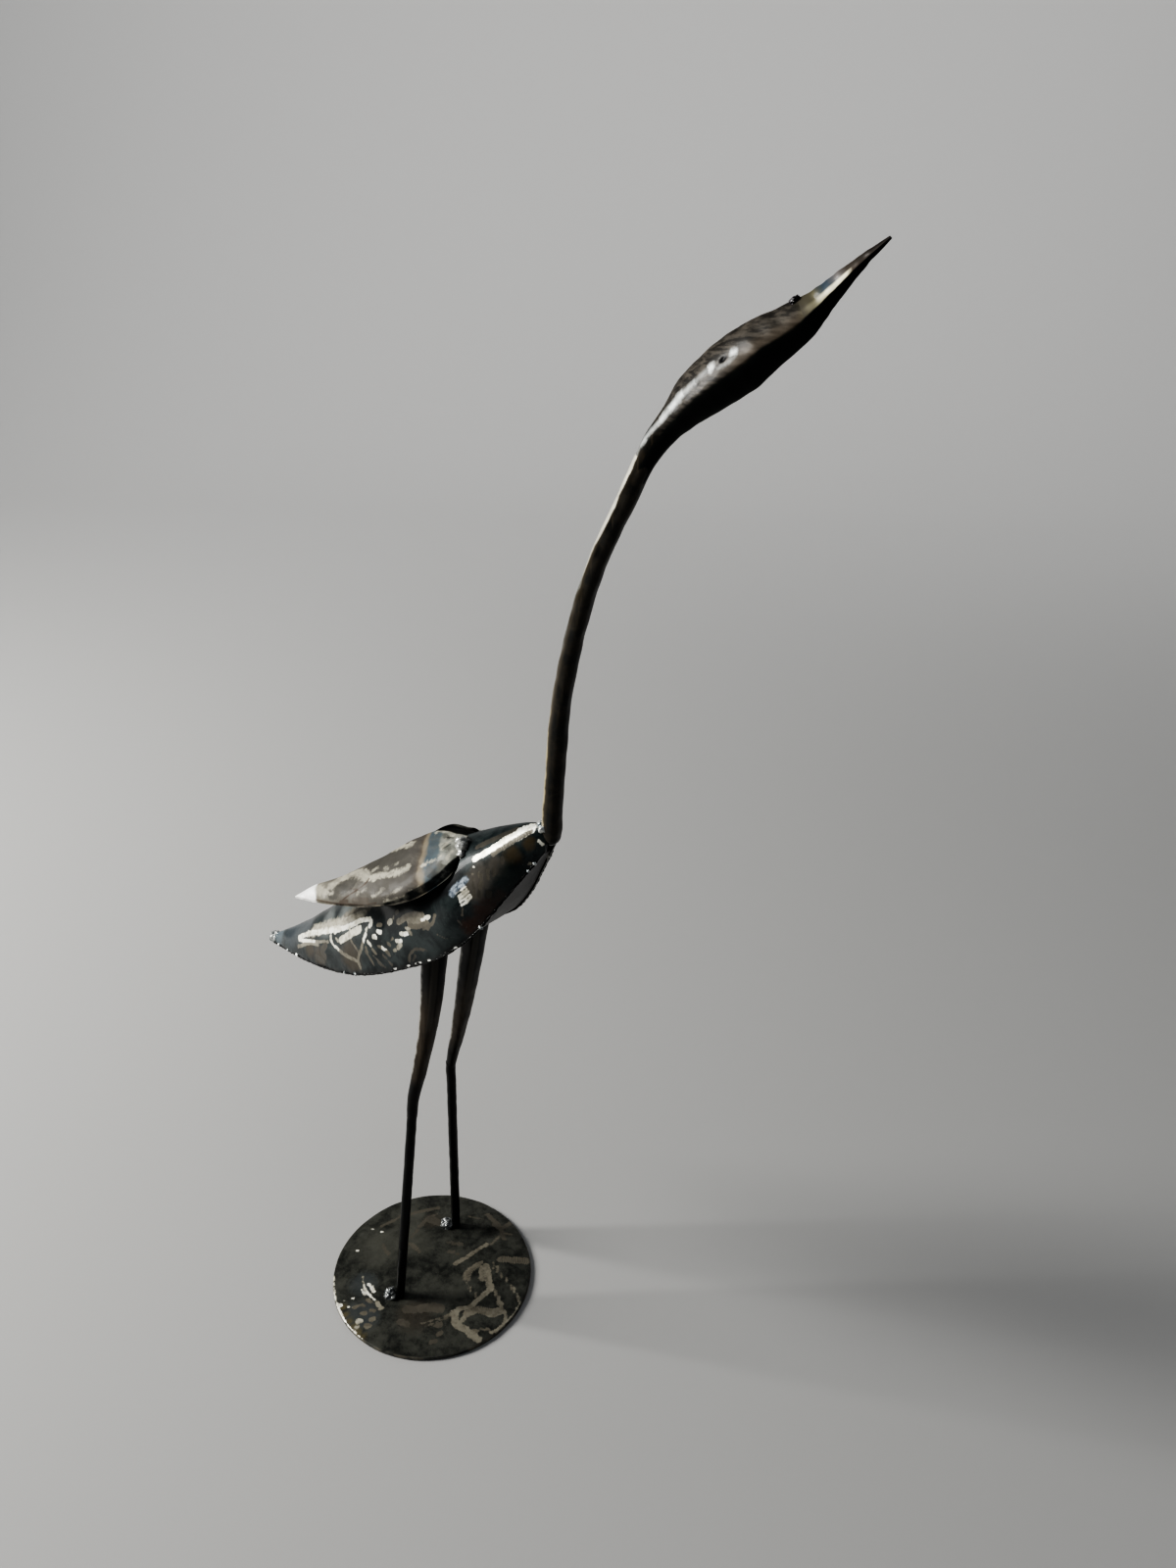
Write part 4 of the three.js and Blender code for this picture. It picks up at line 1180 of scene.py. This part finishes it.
shellSteel = makeShellSteel()
wingSteel = makeWingSteel()
weldSteel = makeWeldSteel("lacqueredWeld", (0.10, 0.12, 0.13), 1.0)
wingBead = makeWeldSteel("brightBead", (0.27, 0.27, 0.25), 1.0)
footBead = makeWeldSteel("lacqueredBead", (0.020, 0.026, 0.030), 0.3)
rodSteel = makeRodSteel("lacqueredRod", (0.0035, 0.0040, 0.0038), (0.0080, 0.0080, 0.0072), 0.1, 0.22)
thighSteel = makeThighSteel()
burntWeld = makeRodSteel("burntWeld", (0.012, 0.010, 0.013), (0.075, 0.062, 0.080), 0.3, 0.5)

makeBase()
print("base made")
for side in legs:
    foot = makeLeg(side, rodSteel, thighSteel)
    centre = (foot[0] - footWeld["back"], foot[1] - footWeld["out"], base["crown"] + 0.2)
    makeWeld(side + "FootWeld", centre, footWeld["size"], [side + "_shin"], footBead,
             101 + len(side))
print("legs made")

makeShell(shellSteel)
makeBelly(makeBellySteel())
print("body made")
for side in wings:
    makeWing(side, wingSteel)
    front, axis, chord, normal, length = wingFrame(wings[side])
    # the run of weld that holds the leaf lies across its blunt front end
    across = np.linspace(*wings[side]["weld"], 7)[:, None]
    forward, high = 2.6 + 0.02 * (across - 2) ** 2, 1.6 - 0.012 * across ** 2
    tack = front + axis * forward + chord * across + normal * high
    makeRun(side + "WingWeld", tack, 2.3, 4.6, [side + "_wing"], wingBead, 121 + len(side), 0.4)
print("wings made")

makeNeck(makeNeckSteel())
makeHead(makeHeadSteel())
makeBeak(makeBeakSteel())
# a shiny run of weld behind the foot of the neck
turn = np.radians(np.linspace(105, 265, 40))
collar = np.stack([86.6 + 4.9 * np.cos(turn), midline + 4.9 * np.sin(turn), 366.6 - 2.2 * np.cos(turn)], -1)
makeRun("neckWeld", collar, 1.35, 3.4, ["neck"], weldSteel, 139, 0.4)
# the lower edges are hammered over a thin run of weld, with a bright tack here and there
for side, degrees, out, tacks in (
    ("right", 0, 0.3, [-112, -99.5, -88, -34, -24, 61, 80, 82.5]), ("left", 180, -0.3, [-106, -61, 12, 79]),
):
    x = np.linspace(-121, 83, 120)
    path = bodyPoint(x, np.full_like(x, degrees)) + (0, out, 0.5)
    makeRun(side + "SeamWeld", path, 0.5, 5.3, ["body"], rodSteel, 161 + degrees, 0.3)
    for count, place in enumerate(bodyPoint(np.array(tacks), np.full(len(tacks), degrees)) + (0, 0.2, 0.8)):
        size = (1.0 + 0.35 * (count % 3), 0.95, 0.85)
        makeWeld(side + "Tack" + str(count), place, size, ["body"], weldSteel, 171 + count, 0.16,
                 (0.2, 0, 1), 26)
makeWeld("tailWeld", (-119.5, midline, 219.5), (4.8, 3.3, 3.3), ["body"], weldSteel, 141, 0.2,
         (0.9, 0, 0.3))
makeWeld("beakWeld", headPoint(83.5, 6.6, -0.4), (2.5, 1.7, 1.3), ["head"], burntWeld, 151, 0.2,
         (-0.7, 0, 0.7))
print("head and welds made")


# floor, light and camera

studio = dict(
    floorSize=9000.0, wallAway=3200.0, wallHigh=4200.0, wallBend=1300.0, floorTone=(0.36, 0.357, 0.35),
    worldTone=(0.50, 0.53, 0.58), worldPower=0.22,
)
camera = dict(
    place=(365.0, -408.9, 652.0), right=(0.8401, 0.5418, 0.0274), up=(-0.2715, 0.3761, 0.8859),
    back=(0.4697, -0.7517, 0.4630), lens=27.0, sensor=36.0,
)


def makeStudio():
    # one sheet: flat floor, a quarter round, then straight up, turned to face the camera
    away = unit(np.array([-camera["back"][0], -camera["back"][1]]))
    sideways = np.array([away[1], -away[0]])
    bend = np.linspace(0, math.pi / 2, 24)
    reach = studio["wallAway"] - studio["wallBend"]
    run = np.concatenate([
        [-studio["floorSize"] / 2], reach + studio["wallBend"] * np.sin(bend), [studio["wallAway"]]])
    high = np.concatenate([[0], studio["wallBend"] * (1 - np.cos(bend)), [studio["wallHigh"]]])
    across = np.array([-1, 1]) * studio["floorSize"] / 2
    level = run[:, None, None] * away + across[:, None] * sideways
    points = np.concatenate([level, np.repeat(high, 2).reshape(-1, 2, 1)], -1).reshape(-1, 3)
    first = np.arange(len(run) - 1) * 2
    faces = np.stack([first, first + 1, first + 3, first + 2], -1)
    mesh = bpy.data.meshes.new("studioFloor")
    mesh.from_pydata((points * millimetre).tolist(), [], faces.tolist())
    mesh.shade_smooth()
    startMaterial("palePaper", 0.0, 0.1, 0.2)
    join(bench["shader"], {"Base Color": studio["floorTone"], "Roughness": 0.9})
    floor = placeMesh("studioFloor", mesh, bench["material"])


def addLamp(name, azimuth, elevation, distance, size, power, tone, aim=(0.0, 0.0, 0.33)):
    # a soft box on a circle round the bird, turned to face it
    lamp = bpy.data.lights.new(name, "AREA")
    lamp.shape = "RECTANGLE"
    lamp.size, lamp.size_y = size
    lamp.energy = power
    lamp.color = tone
    a, e = math.radians(azimuth), math.radians(elevation)
    back = np.array([math.cos(a) * math.cos(e), math.sin(a) * math.cos(e), math.sin(e)])
    side = unit(np.cross(axisZ, back))
    over = np.cross(back, side)
    place = np.array(aim) + back * distance
    holder = bpy.data.objects.new(name, lamp)
    holder.matrix_world = Matrix([[side[i], over[i], back[i], place[i]] for i in range(3)] + [[0, 0, 0, 1]])
    holder.visible_camera = False
    bpy.context.scene.collection.objects.link(holder)
    return holder


def makeLight():
    world = bpy.data.worlds.new("studio")
    world.use_nodes = True
    background = world.node_tree.nodes["Background"]
    background.inputs["Color"].default_value = (*studio["worldTone"], 1)
    background.inputs["Strength"].default_value = studio["worldPower"]
    bpy.context.scene.world = world
    addLamp("window", -150, 25, 1.9, (0.5, 0.95), 66, (1.0, 0.99, 0.96))
    addLamp("softFill", -40, 62, 2.4, (1.6, 1.6), 7, (0.95, 0.97, 1.0))
    # one more lights the upright part of the sheet only, with its back to the bird
    wash = addLamp("wallWash", -58, 52, 1.65, (6.0, 0.8), 60, (1.0, 1.0, 1.0), (-1.54, 2.46, 0.6))
    wash.visible_glossy = False


def makeCamera():
    view = bpy.data.cameras.new("photoCamera")
    view.lens = camera["lens"]
    view.sensor_width = camera["sensor"]
    view.clip_start, view.clip_end = 0.01, 60
    holder = bpy.data.objects.new("photoCamera", view)
    rows = zip(camera["right"], camera["up"], camera["back"], (c * millimetre for c in camera["place"]))
    holder.matrix_world = Matrix([list(row) for row in rows] + [[0, 0, 0, 1]])
    bpy.context.scene.collection.objects.link(holder)
    bpy.context.scene.camera = holder
    bpy.context.scene.view_settings.look = "AgX - High Contrast"  # deep blacks


makeStudio()
makeLight()
makeCamera()
print("studio made")
